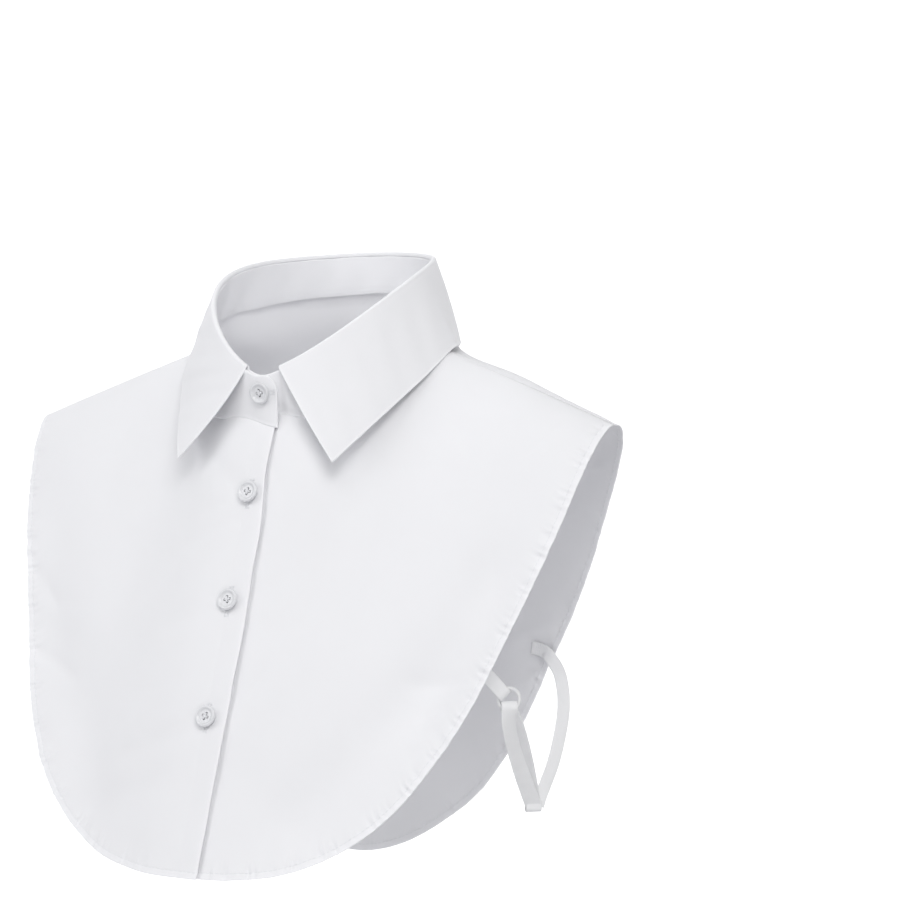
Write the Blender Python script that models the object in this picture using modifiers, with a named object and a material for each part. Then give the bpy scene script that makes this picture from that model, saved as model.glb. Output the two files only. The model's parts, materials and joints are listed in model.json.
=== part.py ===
"""Detachable shirt collar: two buttoned fronts and a back hanging from a shirt collar, worn shape.

The wearer faces -Y and the wearer's left is +X. The origin is level with the two shoulder tips,
on the middle line of the garment, inside the open neck. Lengths are in metres.

Every cloth panel lies on one worn form. The form is a row of profiles, one for each distance x
from the middle: from the shoulder line it rounds over and then runs down at a steady lean.
"""
import math

import bmesh
import bpy
import numpy as np
from mathutils import Matrix, Vector

MM = 0.001

# Sizes of the garment
GARMENT = "detachable_shirt_collar"
SHOULDER_HALF = 173 * MM
NECK_HALF = 64 * MM
NECK_CENTRE_Y = 10 * MM
NECK_FRONT = 57.3 * MM
NECK_BACK = 62 * MM
CLOTH_WALL = 1.2 * MM
STAND_WALL = 1.5 * MM
LEAF_WALL = 1.2 * MM
SEAM_GAP = 0.3 * MM
FRONT_LAP = 12.2 * MM
LAYER_STEP = CLOTH_WALL + SEAM_GAP * 1.4
SEAM_SETBACK = 0.45 * MM
NECK_CLEAR = STAND_WALL / 2 + SEAM_GAP + CLOTH_WALL * 0.55

# Worn form: the shoulder line, then how the cloth falls from it in front and behind
SHOULDER_SLOPE = 0.39
RIDGE_ROUND = 40 * MM
RIDGE_Y_MIDDLE = 14.5 * MM
RIDGE_Y_TIP = 2 * MM
NAPE_RISE = 9 * MM
NECK_RISE = 17 * MM
NECK_RISE_START = 0.03
NECK_RISE_FADE = 0.055
NECK_RISE_DROP = 40 * MM
HOLLOW_X = 80 * MM
HOLLOW_WIDTH = 38 * MM
FORM = {
    "front": dict(way=-1, reach_middle=43 * MM, reach_tip=16.5 * MM, power=1.5,
                  fall_middle=14 * MM, fall_tip=20 * MM, hollow=115 * MM, lean=0.36),
    "back": dict(way=1, reach_middle=91 * MM, reach_tip=36 * MM, power=2.2,
                 fall_middle=18.6 * MM, fall_tip=30 * MM, hollow=0, lean=-0.20),
}

# Outer edges in front view, from the middle of the hem up to the shoulder tip, in millimetres
# (columns x, z)
FRONT_EDGE = ((0, -219.5), (28, -218.5), (56, -213.5), (83, -201), (104, -182.5), (120.5, -158),
              (133, -132), (147, -92), (159.5, -53), (168.5, -17), (173, 0))
BACK_EDGE = ((0, -238), (28, -232), (54, -217), (80, -195), (102, -165), (121, -125),
             (136, -92), (150, -54), (160, -28), (168.5, -10), (173, 0))

# Collar: the fold line at the top, and the leaf's free edge, in millimetres
FOLD_HALF = 57.7 * MM
FOLD_DEPTH_HALF = 60.5 * MM
FOLD_CENTRE_Y = 10.5 * MM
FOLD_FRONT_POWER = 1.35
FOLD_Z_FRONT = 25.5 * MM
FOLD_Z_BACK = 88 * MM
FOLD_FRONT_DIP = 2.7
FOLD_BACK_DIP = 2.5 * MM
FOLD_RADIUS = 1.5 * MM
LEAF_START_X = 9.2 * MM
# (columns x, y, z, from the front point to the middle of the back)
LEAF_EDGE = ((46.2, -58.6, -19.4), (56, -43.5, -5), (65.3, -26.8, 9.7), (74.2, -10.3, 24),
             (79.3, 8, 38.2), (76.2, 21, 42.6), (66.6, 41, 45), (48.5, 66.5, 47),
             (26, 85, 46.5), (0, 91.5, 46))
LEAF_BOW = 0.1 * MM
LEAF_BOW_NAPE = 3.2 * MM
STAND_END_ROUND = 9 * MM

# Buttons: four holes and a raised rim
BUTTON_RADIUS = 5.6 * MM
BUTTON_HEIGHT = 2.2 * MM
BUTTON_HOLE_RADIUS = 0.75 * MM
BUTTON_HOLE_OFFSET = 1.35 * MM
BUTTON_HEIGHTS = {"button_1": -36 * MM, "button_2": -89 * MM, "button_3": -145 * MM}
BUTTON_NECK_HEIGHT = 13.5 * MM

# Side straps: tape, ring and where they run on the wearer's left, in millimetres
TAPE_WIDTH = 6.5 * MM
TAPE_WALL = 1.0 * MM
RING_RADIUS = 5.4 * MM
RING_TUBE = 0.9 * MM
RING_CENTRE = Vector((136, -41, -134)) * MM
RING_FACING = Vector((0.6, -0.8, 0))
LOOP_BOTTOM = Vector((133, -7, -193)) * MM
LOOP_OPENING = 1.2 * MM
LOOP_SPREAD = 2.2 * MM
TAB_SEAT_X = 124 * MM
TAB_SEAT_Z = -112 * MM
# (columns x, z, lift off the inside of the back)
BACK_SEAT = ((106, -120, 1.9), (114, -121, 2.3), (120, -123, 3.8))
# (columns x, y, z, facing_x, facing_y)
BACK_STRAP = ((127.5, 36.5, -133, 0.5, -0.85), (131.8, 31, -150, 0.6, -0.8), (133.5, 17, -172, 0.6, -0.8),
              (133.8, 1, -188, 0.6, -0.8), (134.2, -4, -193, 0.6, -0.8))

# Fineness of the panels
PANEL_ROWS = 17
ROW_CROWDING = 1.1
FRONT_COLUMNS = 24
BACK_COLUMNS = 36
COLLAR_COLUMNS = 44


def clear_scene():
    """Take every object out of the scene."""
    for item in list(bpy.data.objects):
        bpy.data.objects.remove(item, do_unlink=True)


def ridge(x, side):
    """Height and depth of the shoulder line at x; behind, it rises to the nape inside the neck."""
    slope = SHOULDER_SLOPE * (np.hypot(RIDGE_ROUND, SHOULDER_HALF) - np.hypot(RIDGE_ROUND, x))
    nape = NAPE_RISE * np.clip(1 - (x / NECK_HALF) ** 2, 0, 1) ** 2
    y = RIDGE_Y_MIDDLE + (RIDGE_Y_TIP - RIDGE_Y_MIDDLE) * np.abs(x) / SHOULDER_HALF
    return y, slope + (nape if side == "back" else 0)


def rounding(x, side):
    """How far the cloth reaches out from the shoulder line at x, and over what fall it rounds."""
    shape = FORM[side]
    out = (np.abs(x) / SHOULDER_HALF) ** shape["power"]
    reach = shape["reach_middle"] + (shape["reach_tip"] - shape["reach_middle"]) * out
    fall = shape["fall_middle"] + (shape["fall_tip"] - shape["fall_middle"]) * out
    return reach, fall + shape["hollow"] * np.exp(-((np.abs(x) - HOLLOW_X) / HOLLOW_WIDTH) ** 2)


def form_point(x, root, side):
    """Point of the worn form: `root` squared is the drop in millimetres below the shoulder line.

    depth = reach * sqrt(1 - e^(-drop / fall)) + lean * drop, away from the shoulder line; round the
    neck, behind and beside it, the cloth rises again by a height that fades with distance.
    """
    drop = root ** 2 * MM
    reach, fall = rounding(x, side)
    y, z = ridge(x, side)
    y = y + FORM[side]["way"] * (reach * np.sqrt(1 - np.exp(-drop / fall)) + FORM[side]["lean"] * drop)
    from_neck = np.hypot(x / NECK_HALF, (y - NECK_CENTRE_Y) / NECK_BACK) - 1 - NECK_RISE_START
    rise = NECK_RISE * ease(y / (60 * MM) + 0.5)
    rise = rise * np.exp(-np.maximum(from_neck, 0) / NECK_RISE_FADE - (drop / NECK_RISE_DROP) ** 2)
    return np.stack([x, y, z - drop + rise], axis=-1)


def root_at_height(x, z, side):
    """The form's root value at height z, the other way round from form_point."""
    return np.sqrt(np.maximum(ridge(x, side)[1] - z, 0) / MM)


def neck_curve(angle, grow=0.0):
    """Neckline at angles from the front middle: x and root on the form, under a plan ellipse."""
    side = "front" if math.cos(angle) > 0 else "back"
    x = (NECK_HALF + grow) * math.sin(angle)
    depth_half = NECK_FRONT + grow * 0.3 if side == "front" else NECK_BACK + grow
    y = NECK_CENTRE_Y - depth_half * math.cos(angle)
    roots = np.linspace(0, 9, 400)
    depth = form_point(np.full_like(roots, x), roots, side)[:, 1] * FORM[side]["way"]
    limit = int(np.argmax(depth)) + 1
    return x, float(np.interp(y * FORM[side]["way"], depth[:limit], roots[:limit])), side


def smooth_curve(rows, shares):
    """Smooth curve through the rows at equal shares of its length (Catmull-Rom), evenly walked."""
    rows = np.asarray(rows, float)
    ends = np.vstack([2 * rows[0] - rows[1], rows, 2 * rows[-1] - rows[-2]])
    place = np.linspace(0, len(rows) - 1 - 1e-9, 60 * len(rows))
    cell = place.astype(int)
    t = (place - cell)[:, None]
    a, b, c, d = (ends[cell + k] for k in range(4))
    square = (2 * a - 5 * b + 4 * c - d) * t ** 2
    cube = (3 * b - a - 3 * c + d) * t ** 3
    fine = 0.5 * (2 * b + (c - a) * t + square + cube)
    walk = np.concatenate([[0], np.cumsum(np.linalg.norm(np.diff(fine, axis=0), axis=1))])
    places = np.asarray(shares) * walk[-1]
    return np.stack([np.interp(places, walk, fine[:, k]) for k in range(rows.shape[1])], axis=-1)


def outer_edge(half, first_x, shares):
    """Outer edge from first_x near the middle to a shoulder tip; a mirrored half makes it whole."""
    mirrored = [(-x, z) for x, z in half[:0:-1]]
    whole = smooth_curve(np.array(mirrored + list(half)) * MM, np.linspace(0, 1, 400))
    start = np.searchsorted(whole[:, 0], first_x)
    return smooth_curve(whole[start::8] if (len(whole) - 1 - start) % 8 == 0 else
                        np.vstack([whole[start::8], whole[-1:]]), shares)


def grid_sheet(name, points, wall, colour, roughness=0.8):
    """Closed cloth wall: a grid laid on the points (rows, columns, 3) and thickened both ways."""
    rows, columns = points.shape[:2]
    mesh = bpy.data.meshes.new(name)
    work = bmesh.new()
    bmesh.ops.create_grid(work, x_segments=columns - 1, y_segments=rows - 1, size=1.0)
    for vertex in work.verts:
        column = round((vertex.co.x + 1) / 2 * (columns - 1))
        row = round((vertex.co.y + 1) / 2 * (rows - 1))
        vertex.co = points[row, column]
    work.to_mesh(mesh)
    work.free()
    mesh.shade_smooth()
    item = add_object(name, mesh, colour, roughness)
    solid = item.modifiers.new("wall", "SOLIDIFY")
    solid.thickness = wall
    solid.offset = 0
    solid.use_even_offset = True
    return item


def add_object(name, mesh, colour, roughness=0.8, collection=None):
    """Put a mesh in the part's collection with a plain material of its own."""
    item = bpy.data.objects.new(name, mesh)
    (collection or PART).objects.link(item)
    material = bpy.data.materials.new(name)
    material.use_nodes = True
    shader = material.node_tree.nodes["Principled BSDF"]
    shader.inputs["Base Color"].default_value = (*colour, 1)
    shader.inputs["Roughness"].default_value = roughness
    mesh.materials.clear()
    mesh.materials.append(material)
    return item


def ease(value):
    """Smooth step from 0 to 1."""
    value = np.clip(value, 0, 1)
    return value * value * (3 - 2 * value)


def seam_roots(side, x):
    """Roots of the shoulder seam's edge: half the seam's gap, and room for the leaning wall."""
    reach, fall = rounding(x, side)
    return SEAM_SETBACK * math.sqrt(fall / MM) / reach


def panel_points(inner, outer, side, rows=PANEL_ROWS):
    """Ruled patch on the form between two edges given as (x, root) rows."""
    share = np.linspace(0, 1, rows)[:, None, None] ** ROW_CROWDING
    patch = inner[None] * (1 - share) + outer[None] * share
    return form_point(patch[..., 0], patch[..., 1], side)


def build_front(name, hand, colour):
    """One front. The wearer's right one (hand -1) laps over the left one at the middle."""
    first_x = -hand * FRONT_LAP
    grow = NECK_CLEAR
    start = math.asin(first_x / (NECK_HALF + grow))
    angles = np.linspace(start, hand * math.pi / 2, FRONT_COLUMNS)
    neck = np.array([neck_curve(angle, grow)[:2] for angle in angles])
    edge = outer_edge(FRONT_EDGE, hand * first_x, np.linspace(0, 1, FRONT_COLUMNS))
    edge[:, 0] *= hand
    hem = np.column_stack([edge[:, 0], root_at_height(edge[:, 0], edge[:, 1], "front")])
    neck[-1, 1] = seam_roots("front", neck[-1, 0])
    hem[-1, 1] = seam_roots("front", hem[-1, 0])
    points = panel_points(neck, hem, "front")
    if hand < 0:
        points[..., 1] -= LAYER_STEP * 1.07 * ease((points[..., 0] + 42 * MM) / (26 * MM))
    return grid_sheet(name, points, CLOTH_WALL, colour)


def build_back(name, colour):
    """The back, one piece from shoulder seam to shoulder seam."""
    grow = NECK_CLEAR
    angles = np.linspace(math.pi / 2, 3 * math.pi / 2, BACK_COLUMNS + 1)
    neck = np.array([neck_curve(angle + 1e-9 * np.sign(math.pi - angle), grow)[:2] for angle in angles])
    half = outer_edge(BACK_EDGE, 0.0, np.linspace(0, 1, BACK_COLUMNS // 2 + 1))
    edge = np.vstack([half[::-1], half[1:] * [-1, 1]])
    hem = np.column_stack([edge[:, 0], root_at_height(edge[:, 0], edge[:, 1], "back")])
    neck[[0, -1], 1] = seam_roots("back", neck[0, 0])
    hem[[0, -1], 1] = seam_roots("back", hem[0, 0])
    return grid_sheet(name, panel_points(neck, hem, "back"), CLOTH_WALL, colour)


def fold_point(angle, drop=0.0):
    """Fold line of the collar at an angle from the front middle, lowered by `drop`."""
    z = FOLD_Z_BACK - (FOLD_Z_BACK - FOLD_Z_FRONT) * ((1 + np.cos(angle)) / 2) ** FOLD_FRONT_DIP
    z = z - FOLD_BACK_DIP * np.sin(angle) ** 2 * (1 - np.cos(angle))
    power = 1 + (FOLD_FRONT_POWER - 1) * (1 + np.cos(angle)) / 2
    x = FOLD_HALF * np.sign(np.sin(angle)) * np.abs(np.sin(angle)) ** power
    return np.stack([x, FOLD_CENTRE_Y - FOLD_DEPTH_HALF * np.cos(angle), z - drop], axis=-1)


def fold_angle(x):
    """Angle at which the front of the fold line is x from the middle."""
    return math.asin((x / FOLD_HALF) ** (1 / FOLD_FRONT_POWER))


def plan_outward(angle):
    """Level direction square to the neck ellipse, away from the neck."""
    across = np.sin(angle) / FOLD_HALF
    along = -np.cos(angle) / FOLD_DEPTH_HALF
    way = np.stack([across, along, np.zeros_like(angle)], axis=-1)
    return way / np.linalg.norm(way, axis=-1, keepdims=True)


def build_stand(name, colour):
    """Collar stand: a band round the neck whose right end, with its rounded corner, laps in front."""
    lap = math.asin(FRONT_LAP / NECK_HALF)
    angles = np.linspace(lap, lap - 2 * math.pi - 2 * lap, COLLAR_COLUMNS + 9)
    neck = [neck_curve(angle % (2 * math.pi)) for angle in angles]
    foot = np.array([form_point(np.array(x), np.array(root), side) for x, root, side in neck])
    end = fold_angle(FRONT_LAP * 0.95)
    shares = np.linspace(0, 1, len(angles))
    drop = FOLD_RADIUS + STAND_WALL / 2 + SEAM_GAP
    top = fold_point(np.linspace(end, -2 * math.pi - end, 400), drop)
    top = smooth_curve(top, shares)
    foot = smooth_curve(foot, shares)
    rise = top - foot
    length = np.linalg.norm(rise, axis=1, keepdims=True)
    foot = foot - rise / length * (STAND_WALL / 2)
    walked = (angles[0] - angles) * NECK_HALF
    corner = np.clip(1 - walked / STAND_END_ROUND, 0, 1)
    top = top - rise / length * (STAND_END_ROUND * (1 - np.sqrt(1 - 0.98 * corner ** 2)))[:, None]
    share = np.linspace(0, 1, 5)[:, None, None]
    points = foot[None] * (1 - share) + top[None] * share
    lift = (STAND_WALL + SEAM_GAP) * ease((0.75 - walked / NECK_HALF) / 0.5)
    points += plan_outward(angles)[None] * lift[None, :, None]
    return grid_sheet(name, points, STAND_WALL, colour)


def build_leaf(name, colour):
    """Collar leaf: it starts above the stand, rolls over the fold and falls to its free edge."""
    columns = COLLAR_COLUMNS + 1
    start = fold_angle(LEAF_START_X)
    angles = np.linspace(start, 2 * math.pi - start, columns)
    half = smooth_curve(np.array(LEAF_EDGE) * MM, np.linspace(0, 1, columns // 2 + 1))
    edge = np.vstack([half, half[-2::-1] * [-1, 1, 1]])
    fold = fold_point(angles)
    out = plan_outward(angles)
    up = np.array([0, 0, 1.0])
    centre = fold + out * FOLD_RADIUS - up * FOLD_RADIUS
    rows = [fold - up * (FOLD_RADIUS + 0.1 * MM)]
    for turn in np.linspace(0, math.pi, 5)[1:]:
        rows.append(centre - out * FOLD_RADIUS * math.cos(turn) + up * FOLD_RADIUS * math.sin(turn))
    start = rows[-1]
    depth = LEAF_BOW + (LEAF_BOW_NAPE - LEAF_BOW) * ((1 - np.cos(angles)) / 2) ** 7
    for share in np.linspace(0, 1, 8)[1:]:
        bow = out * depth[:, None] * 4 * share * (1 - share)
        rows.append(start * (1 - share) + edge * share + bow)
    return grid_sheet(name, np.array(rows), LEAF_WALL, colour)


def turned_button(name):
    """Shirt button: a turned profile with a raised rim, and four sewing holes cut through."""
    r, h = BUTTON_RADIUS, BUTTON_HEIGHT
    profile = ((0, 0), (0.72 * r, 0), (0.94 * r, 0.22 * h), (r, 0.55 * h), (0.95 * r, 0.88 * h),
               (0.84 * r, h), (0.70 * r, 0.92 * h), (0.60 * r, 0.66 * h), (0, 0.62 * h))
    mesh = bpy.data.meshes.new(name)
    mesh.from_pydata([(x, 0, z) for x, z in profile], [(k, k + 1) for k in range(len(profile) - 1)], [])
    button = add_object(name, mesh, (0.86, 0.86, 0.88), 0.35)
    screw = button.modifiers.new("turn", "SCREW")
    screw.steps = screw.render_steps = 28
    screw.use_merge_vertices = True
    screw.merge_threshold = 0.00001
    screw.use_smooth_shade = True
    for index in range(4):
        angle = math.pi / 4 + index * math.pi / 2
        work = bmesh.new()
        bmesh.ops.create_cone(work, cap_ends=True, segments=8, radius1=BUTTON_HOLE_RADIUS,
                              radius2=BUTTON_HOLE_RADIUS, depth=3 * h)
        offset = Vector((math.cos(angle), math.sin(angle), 0)) * BUTTON_HOLE_OFFSET
        bmesh.ops.translate(work, verts=work.verts, vec=offset)
        cut_mesh = bpy.data.meshes.new(f"{name}_hole_{index + 1}")
        work.to_mesh(cut_mesh)
        work.free()
        cutter = bpy.data.objects.new(cut_mesh.name, cut_mesh)
        CUTTERS.objects.link(cutter)
        cutter.hide_render = True
        cutter.display_type = "WIRE"
        cutter.parent = button
        cut = button.modifiers.new("hole", "BOOLEAN")
        cut.operation = "DIFFERENCE"
        cut.solver = "EXACT"
        cut.object = cutter
    return button


def place_button(button, point, outward):
    """Set a button on a point of the cloth, its face looking outward, just clear of the cloth."""
    turn = Vector(outward).normalized().to_track_quat("Z", "Y").to_matrix().to_4x4()
    button.matrix_world = Matrix.Translation(point) @ turn


def build_buttons():
    """Neck button on the stand, and three down the fronts, on the middle line."""
    lean = math.atan(FORM["front"]["lean"])
    outward = Vector((0, -math.cos(lean), math.sin(lean)))
    for name, z in BUTTON_HEIGHTS.items():
        base = form_point(np.array(0.0), root_at_height(np.array(0.0), z, "front"), "front")
        reach = LAYER_STEP * 1.07 + CLOTH_WALL / 2 + SEAM_GAP
        place_button(turned_button(name), Vector(base) + outward * reach, outward)
    low = form_point(np.array(0.0), np.array(neck_curve(0.0)[1]), "front")
    high = fold_point(np.array(0.0))
    share = (BUTTON_NECK_HEIGHT - low[2]) / (high[2] - low[2])
    base = Vector(low * (1 - share) + high * share)
    tilt = math.atan2(high[1] - low[1], high[2] - low[2])
    outward = Vector((0, -math.cos(tilt), math.sin(tilt)))
    reach = STAND_WALL + SEAM_GAP + STAND_WALL / 2 + SEAM_GAP
    place_button(turned_button("button_neck"), base + outward * reach, outward)


def ribbon(name, rows, across, hand, colour=(0.80, 0.80, 0.82)):
    """Flat tape along a path; `across` is the way of its width, and hand -1 mirrors it."""
    rows = np.asarray(rows, float)
    tangent = np.gradient(rows, axis=0)
    tangent /= np.linalg.norm(tangent, axis=1, keepdims=True)
    across = np.broadcast_to(np.asarray(across, float), rows.shape)
    across = across - tangent * np.sum(across * tangent, axis=1, keepdims=True)
    across = across / np.linalg.norm(across, axis=1, keepdims=True)
    points = np.stack([rows - across * TAPE_WIDTH / 2, rows, rows + across * TAPE_WIDTH / 2])
    points[..., 0] *= hand
    return grid_sheet(name, points if hand > 0 else points[::-1], TAPE_WALL, colour)


def hook_rows(near, bar, far, facing, away):
    """Path from `near` to a round bar, half round it on its `away` side, and back to `far`."""
    sag = RING_RADIUS - math.sqrt(RING_RADIUS ** 2 - (TAPE_WIDTH / 2) ** 2)
    reach = RING_TUBE + SEAM_GAP * 2.2 + TAPE_WALL / 2 + sag / 2
    facing = np.asarray(facing, float)
    away = np.asarray(away, float)
    turns = np.linspace(0, math.pi, 9)[:, None]
    bar = np.asarray(bar) + away * sag / 2
    bend = bar + (facing * np.cos(turns) + away * np.sin(turns)) * reach
    first = np.linspace(near, bend[0], 8)[:-1]
    last = np.linspace(bend[-1], far, 8)[1:]
    return np.vstack([first, bend, last])


def build_straps(side, hand):
    """Side strap: a tab on the front edge, a ring, a doubled loop, and the tape sewn to the back."""
    facing = RING_FACING.normalized()
    width_way = Vector((-facing.y, facing.x, 0))
    up = Vector((0, 0, 1))
    bpy.ops.mesh.primitive_torus_add(major_segments=28, minor_segments=8, major_radius=RING_RADIUS,
                                     minor_radius=RING_TUBE)
    torus = bpy.context.object
    ring_mesh = torus.data
    bpy.data.objects.remove(torus)
    ring_mesh.shade_smooth()
    ring = add_object(f"strap_ring_{side}", ring_mesh, (0.85, 0.85, 0.87), 0.35)
    centre = Vector((hand * RING_CENTRE.x, RING_CENTRE.y, RING_CENTRE.z))
    look = Vector((hand * facing.x, facing.y, 0))
    ring.matrix_world = Matrix.Translation(centre) @ look.to_track_quat("Z", "Y").to_matrix().to_4x4()

    root = root_at_height(np.array(TAB_SEAT_X), TAB_SEAT_Z, "front")
    seat = Vector(form_point(np.array(TAB_SEAT_X), root, "front"))
    seat += Vector((0, 1, -0.36)).normalized() * (CLOTH_WALL / 2 + SEAM_GAP + TAPE_WALL / 2)
    outward = (up - width_way).normalized()
    bar = RING_CENTRE + outward * RING_RADIUS
    tail = bar + (seat - bar) * 0.35 - facing * (RING_TUBE + SEAM_GAP + TAPE_WALL)
    ribbon(f"strap_tab_{side}", hook_rows(seat, bar, tail, facing, -outward), outward.cross(facing), hand)

    bar = RING_CENTRE - up * RING_RADIUS
    spread = facing * 0.75 * MM
    rows = hook_rows(LOOP_BOTTOM + spread, bar, LOOP_BOTTOM - spread, facing, up)
    fall = (bar.z - rows[:, 2]) / (bar.z - LOOP_BOTTOM.z)
    swell = np.sin(np.clip(fall, 0, 1) * math.pi)
    apart = np.sign((rows - np.array(bar)) @ np.array(facing))
    opening = np.array(facing) * LOOP_OPENING - np.array(width_way) * LOOP_SPREAD
    rows += (swell * apart)[:, None] * opening
    ribbon(f"strap_loop_{side}", rows, width_way, hand)

    sewn = []
    for x, z, lift in BACK_SEAT:
        x = np.array(x * MM)
        here = form_point(x, root_at_height(x, z * MM, "back"), "back") / MM
        sewn.append((here[0], here[1] - lift, here[2], 0.35, -0.95))
    fine = smooth_curve(np.vstack([sewn, BACK_STRAP]), np.linspace(0, 1, 24))
    looks = np.column_stack([fine[:, 3:], np.zeros(len(fine))])
    across = np.cross(np.gradient(fine[:, :3], axis=0), looks)
    ribbon(f"strap_back_{side}", fine[:, :3] * MM, across, hand)


clear_scene()
PART = bpy.data.collections.new(GARMENT)
CUTTERS = bpy.data.collections.new("cutters")
bpy.context.scene.collection.children.link(PART)
bpy.context.scene.collection.children.link(CUTTERS)
WHITE = (0.86, 0.87, 0.90)
build_back("back", WHITE)
build_front("front_left", 1, WHITE)
build_front("front_right", -1, WHITE)
build_stand("collar_stand", WHITE)
build_leaf("collar_leaf", WHITE)
build_buttons()
build_straps("left", 1)
build_straps("right", -1)
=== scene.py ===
# %% [markdown]
# # A detachable shirt collar
#
# This is the part of a shirt that shows inside a jumper: a stand and a pointed leaf round the neck, two
# fronts that button down the middle, a back, and elastic side straps that keep it in place. It is shown
# filled out, as it hangs when it is worn. Every cloth panel lies on one worn form, and the form is a
# function, so the cloth is a formula first and a mesh second.

# %% Load the frame
import json
import math

import bpy
import numpy as np
from mathutils import Matrix, Vector
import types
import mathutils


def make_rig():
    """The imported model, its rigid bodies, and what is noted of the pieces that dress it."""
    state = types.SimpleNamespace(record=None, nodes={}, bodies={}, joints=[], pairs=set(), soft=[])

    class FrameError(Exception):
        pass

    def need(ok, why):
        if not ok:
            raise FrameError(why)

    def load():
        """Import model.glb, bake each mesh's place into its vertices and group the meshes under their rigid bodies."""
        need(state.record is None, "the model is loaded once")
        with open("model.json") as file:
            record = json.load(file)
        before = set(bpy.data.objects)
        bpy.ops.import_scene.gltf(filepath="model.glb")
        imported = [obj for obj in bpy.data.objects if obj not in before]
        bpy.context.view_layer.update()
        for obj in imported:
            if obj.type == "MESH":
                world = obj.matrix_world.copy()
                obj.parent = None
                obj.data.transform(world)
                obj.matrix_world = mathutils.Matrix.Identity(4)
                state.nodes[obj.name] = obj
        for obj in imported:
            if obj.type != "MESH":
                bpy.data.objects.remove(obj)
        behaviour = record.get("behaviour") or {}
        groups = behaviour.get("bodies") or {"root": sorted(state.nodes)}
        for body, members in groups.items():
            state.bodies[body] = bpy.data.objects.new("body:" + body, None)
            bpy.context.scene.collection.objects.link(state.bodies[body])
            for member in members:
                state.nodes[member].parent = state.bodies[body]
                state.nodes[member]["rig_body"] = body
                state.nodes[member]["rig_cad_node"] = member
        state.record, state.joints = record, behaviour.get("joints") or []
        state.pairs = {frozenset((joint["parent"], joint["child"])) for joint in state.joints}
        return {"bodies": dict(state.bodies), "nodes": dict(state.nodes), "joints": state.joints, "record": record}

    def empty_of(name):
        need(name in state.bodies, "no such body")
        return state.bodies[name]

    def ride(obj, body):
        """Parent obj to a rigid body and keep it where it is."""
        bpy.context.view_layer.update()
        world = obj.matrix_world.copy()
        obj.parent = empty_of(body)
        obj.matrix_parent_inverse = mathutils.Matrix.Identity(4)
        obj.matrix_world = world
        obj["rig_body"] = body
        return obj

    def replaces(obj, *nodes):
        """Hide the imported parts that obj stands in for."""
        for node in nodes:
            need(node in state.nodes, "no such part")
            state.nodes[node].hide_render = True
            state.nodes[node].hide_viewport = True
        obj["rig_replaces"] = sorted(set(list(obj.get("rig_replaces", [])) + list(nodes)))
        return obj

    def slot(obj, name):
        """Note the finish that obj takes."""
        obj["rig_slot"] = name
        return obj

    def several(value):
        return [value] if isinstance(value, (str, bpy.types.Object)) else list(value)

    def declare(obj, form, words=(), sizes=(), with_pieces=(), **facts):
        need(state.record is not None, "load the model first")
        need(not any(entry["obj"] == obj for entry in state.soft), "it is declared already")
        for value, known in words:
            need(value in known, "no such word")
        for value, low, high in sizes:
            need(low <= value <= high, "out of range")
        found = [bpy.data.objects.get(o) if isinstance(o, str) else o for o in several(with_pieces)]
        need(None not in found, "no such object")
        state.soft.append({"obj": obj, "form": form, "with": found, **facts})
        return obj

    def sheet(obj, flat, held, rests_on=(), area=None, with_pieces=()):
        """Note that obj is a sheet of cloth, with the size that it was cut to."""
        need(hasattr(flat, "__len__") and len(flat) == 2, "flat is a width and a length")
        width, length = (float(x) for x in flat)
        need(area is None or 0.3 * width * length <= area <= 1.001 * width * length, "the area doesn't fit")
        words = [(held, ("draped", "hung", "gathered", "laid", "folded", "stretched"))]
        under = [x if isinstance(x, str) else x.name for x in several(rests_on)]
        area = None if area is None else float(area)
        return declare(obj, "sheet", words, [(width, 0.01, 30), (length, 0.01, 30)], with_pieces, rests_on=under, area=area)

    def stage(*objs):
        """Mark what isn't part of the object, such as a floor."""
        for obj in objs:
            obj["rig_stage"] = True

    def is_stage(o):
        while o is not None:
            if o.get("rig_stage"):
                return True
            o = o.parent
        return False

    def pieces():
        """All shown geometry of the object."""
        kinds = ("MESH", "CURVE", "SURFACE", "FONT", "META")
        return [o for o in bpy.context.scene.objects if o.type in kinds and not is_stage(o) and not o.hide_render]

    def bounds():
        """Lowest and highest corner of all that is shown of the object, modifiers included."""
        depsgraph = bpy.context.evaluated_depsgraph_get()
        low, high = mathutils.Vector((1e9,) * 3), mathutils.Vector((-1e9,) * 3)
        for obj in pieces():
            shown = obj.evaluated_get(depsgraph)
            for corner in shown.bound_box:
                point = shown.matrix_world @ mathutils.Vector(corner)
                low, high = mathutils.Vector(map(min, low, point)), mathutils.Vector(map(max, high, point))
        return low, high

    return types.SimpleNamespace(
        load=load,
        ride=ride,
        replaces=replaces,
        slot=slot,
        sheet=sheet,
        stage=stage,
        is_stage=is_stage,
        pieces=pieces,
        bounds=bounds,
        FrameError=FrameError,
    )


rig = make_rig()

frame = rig.load()
CAD_BOX = [[float(v) for v in corner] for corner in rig.bounds()]
MM = 0.001
print("nodes:", ", ".join(sorted(frame["nodes"])))

# %% [markdown]
# ## Camera, light and backdrop
#
# The picture is taken almost level, from the wearer's left front, with a long lens. A white sweep stands
# behind the collar and runs forward under it. The lamps are large and soft: a strong one above on the
# right, a weaker one on the left, a small one low on the right and one above the front. The two fronts
# come out almost equally bright, and the inside of the back is the darkest.

# %% Camera at the photograph's angle
CAMERA_PLACE = (0.6692, -1.1137, 0.0431)
CAMERA_YAW = 27.807
CAMERA_PITCH = 2.626
CAMERA_LENS = 98.28


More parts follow.
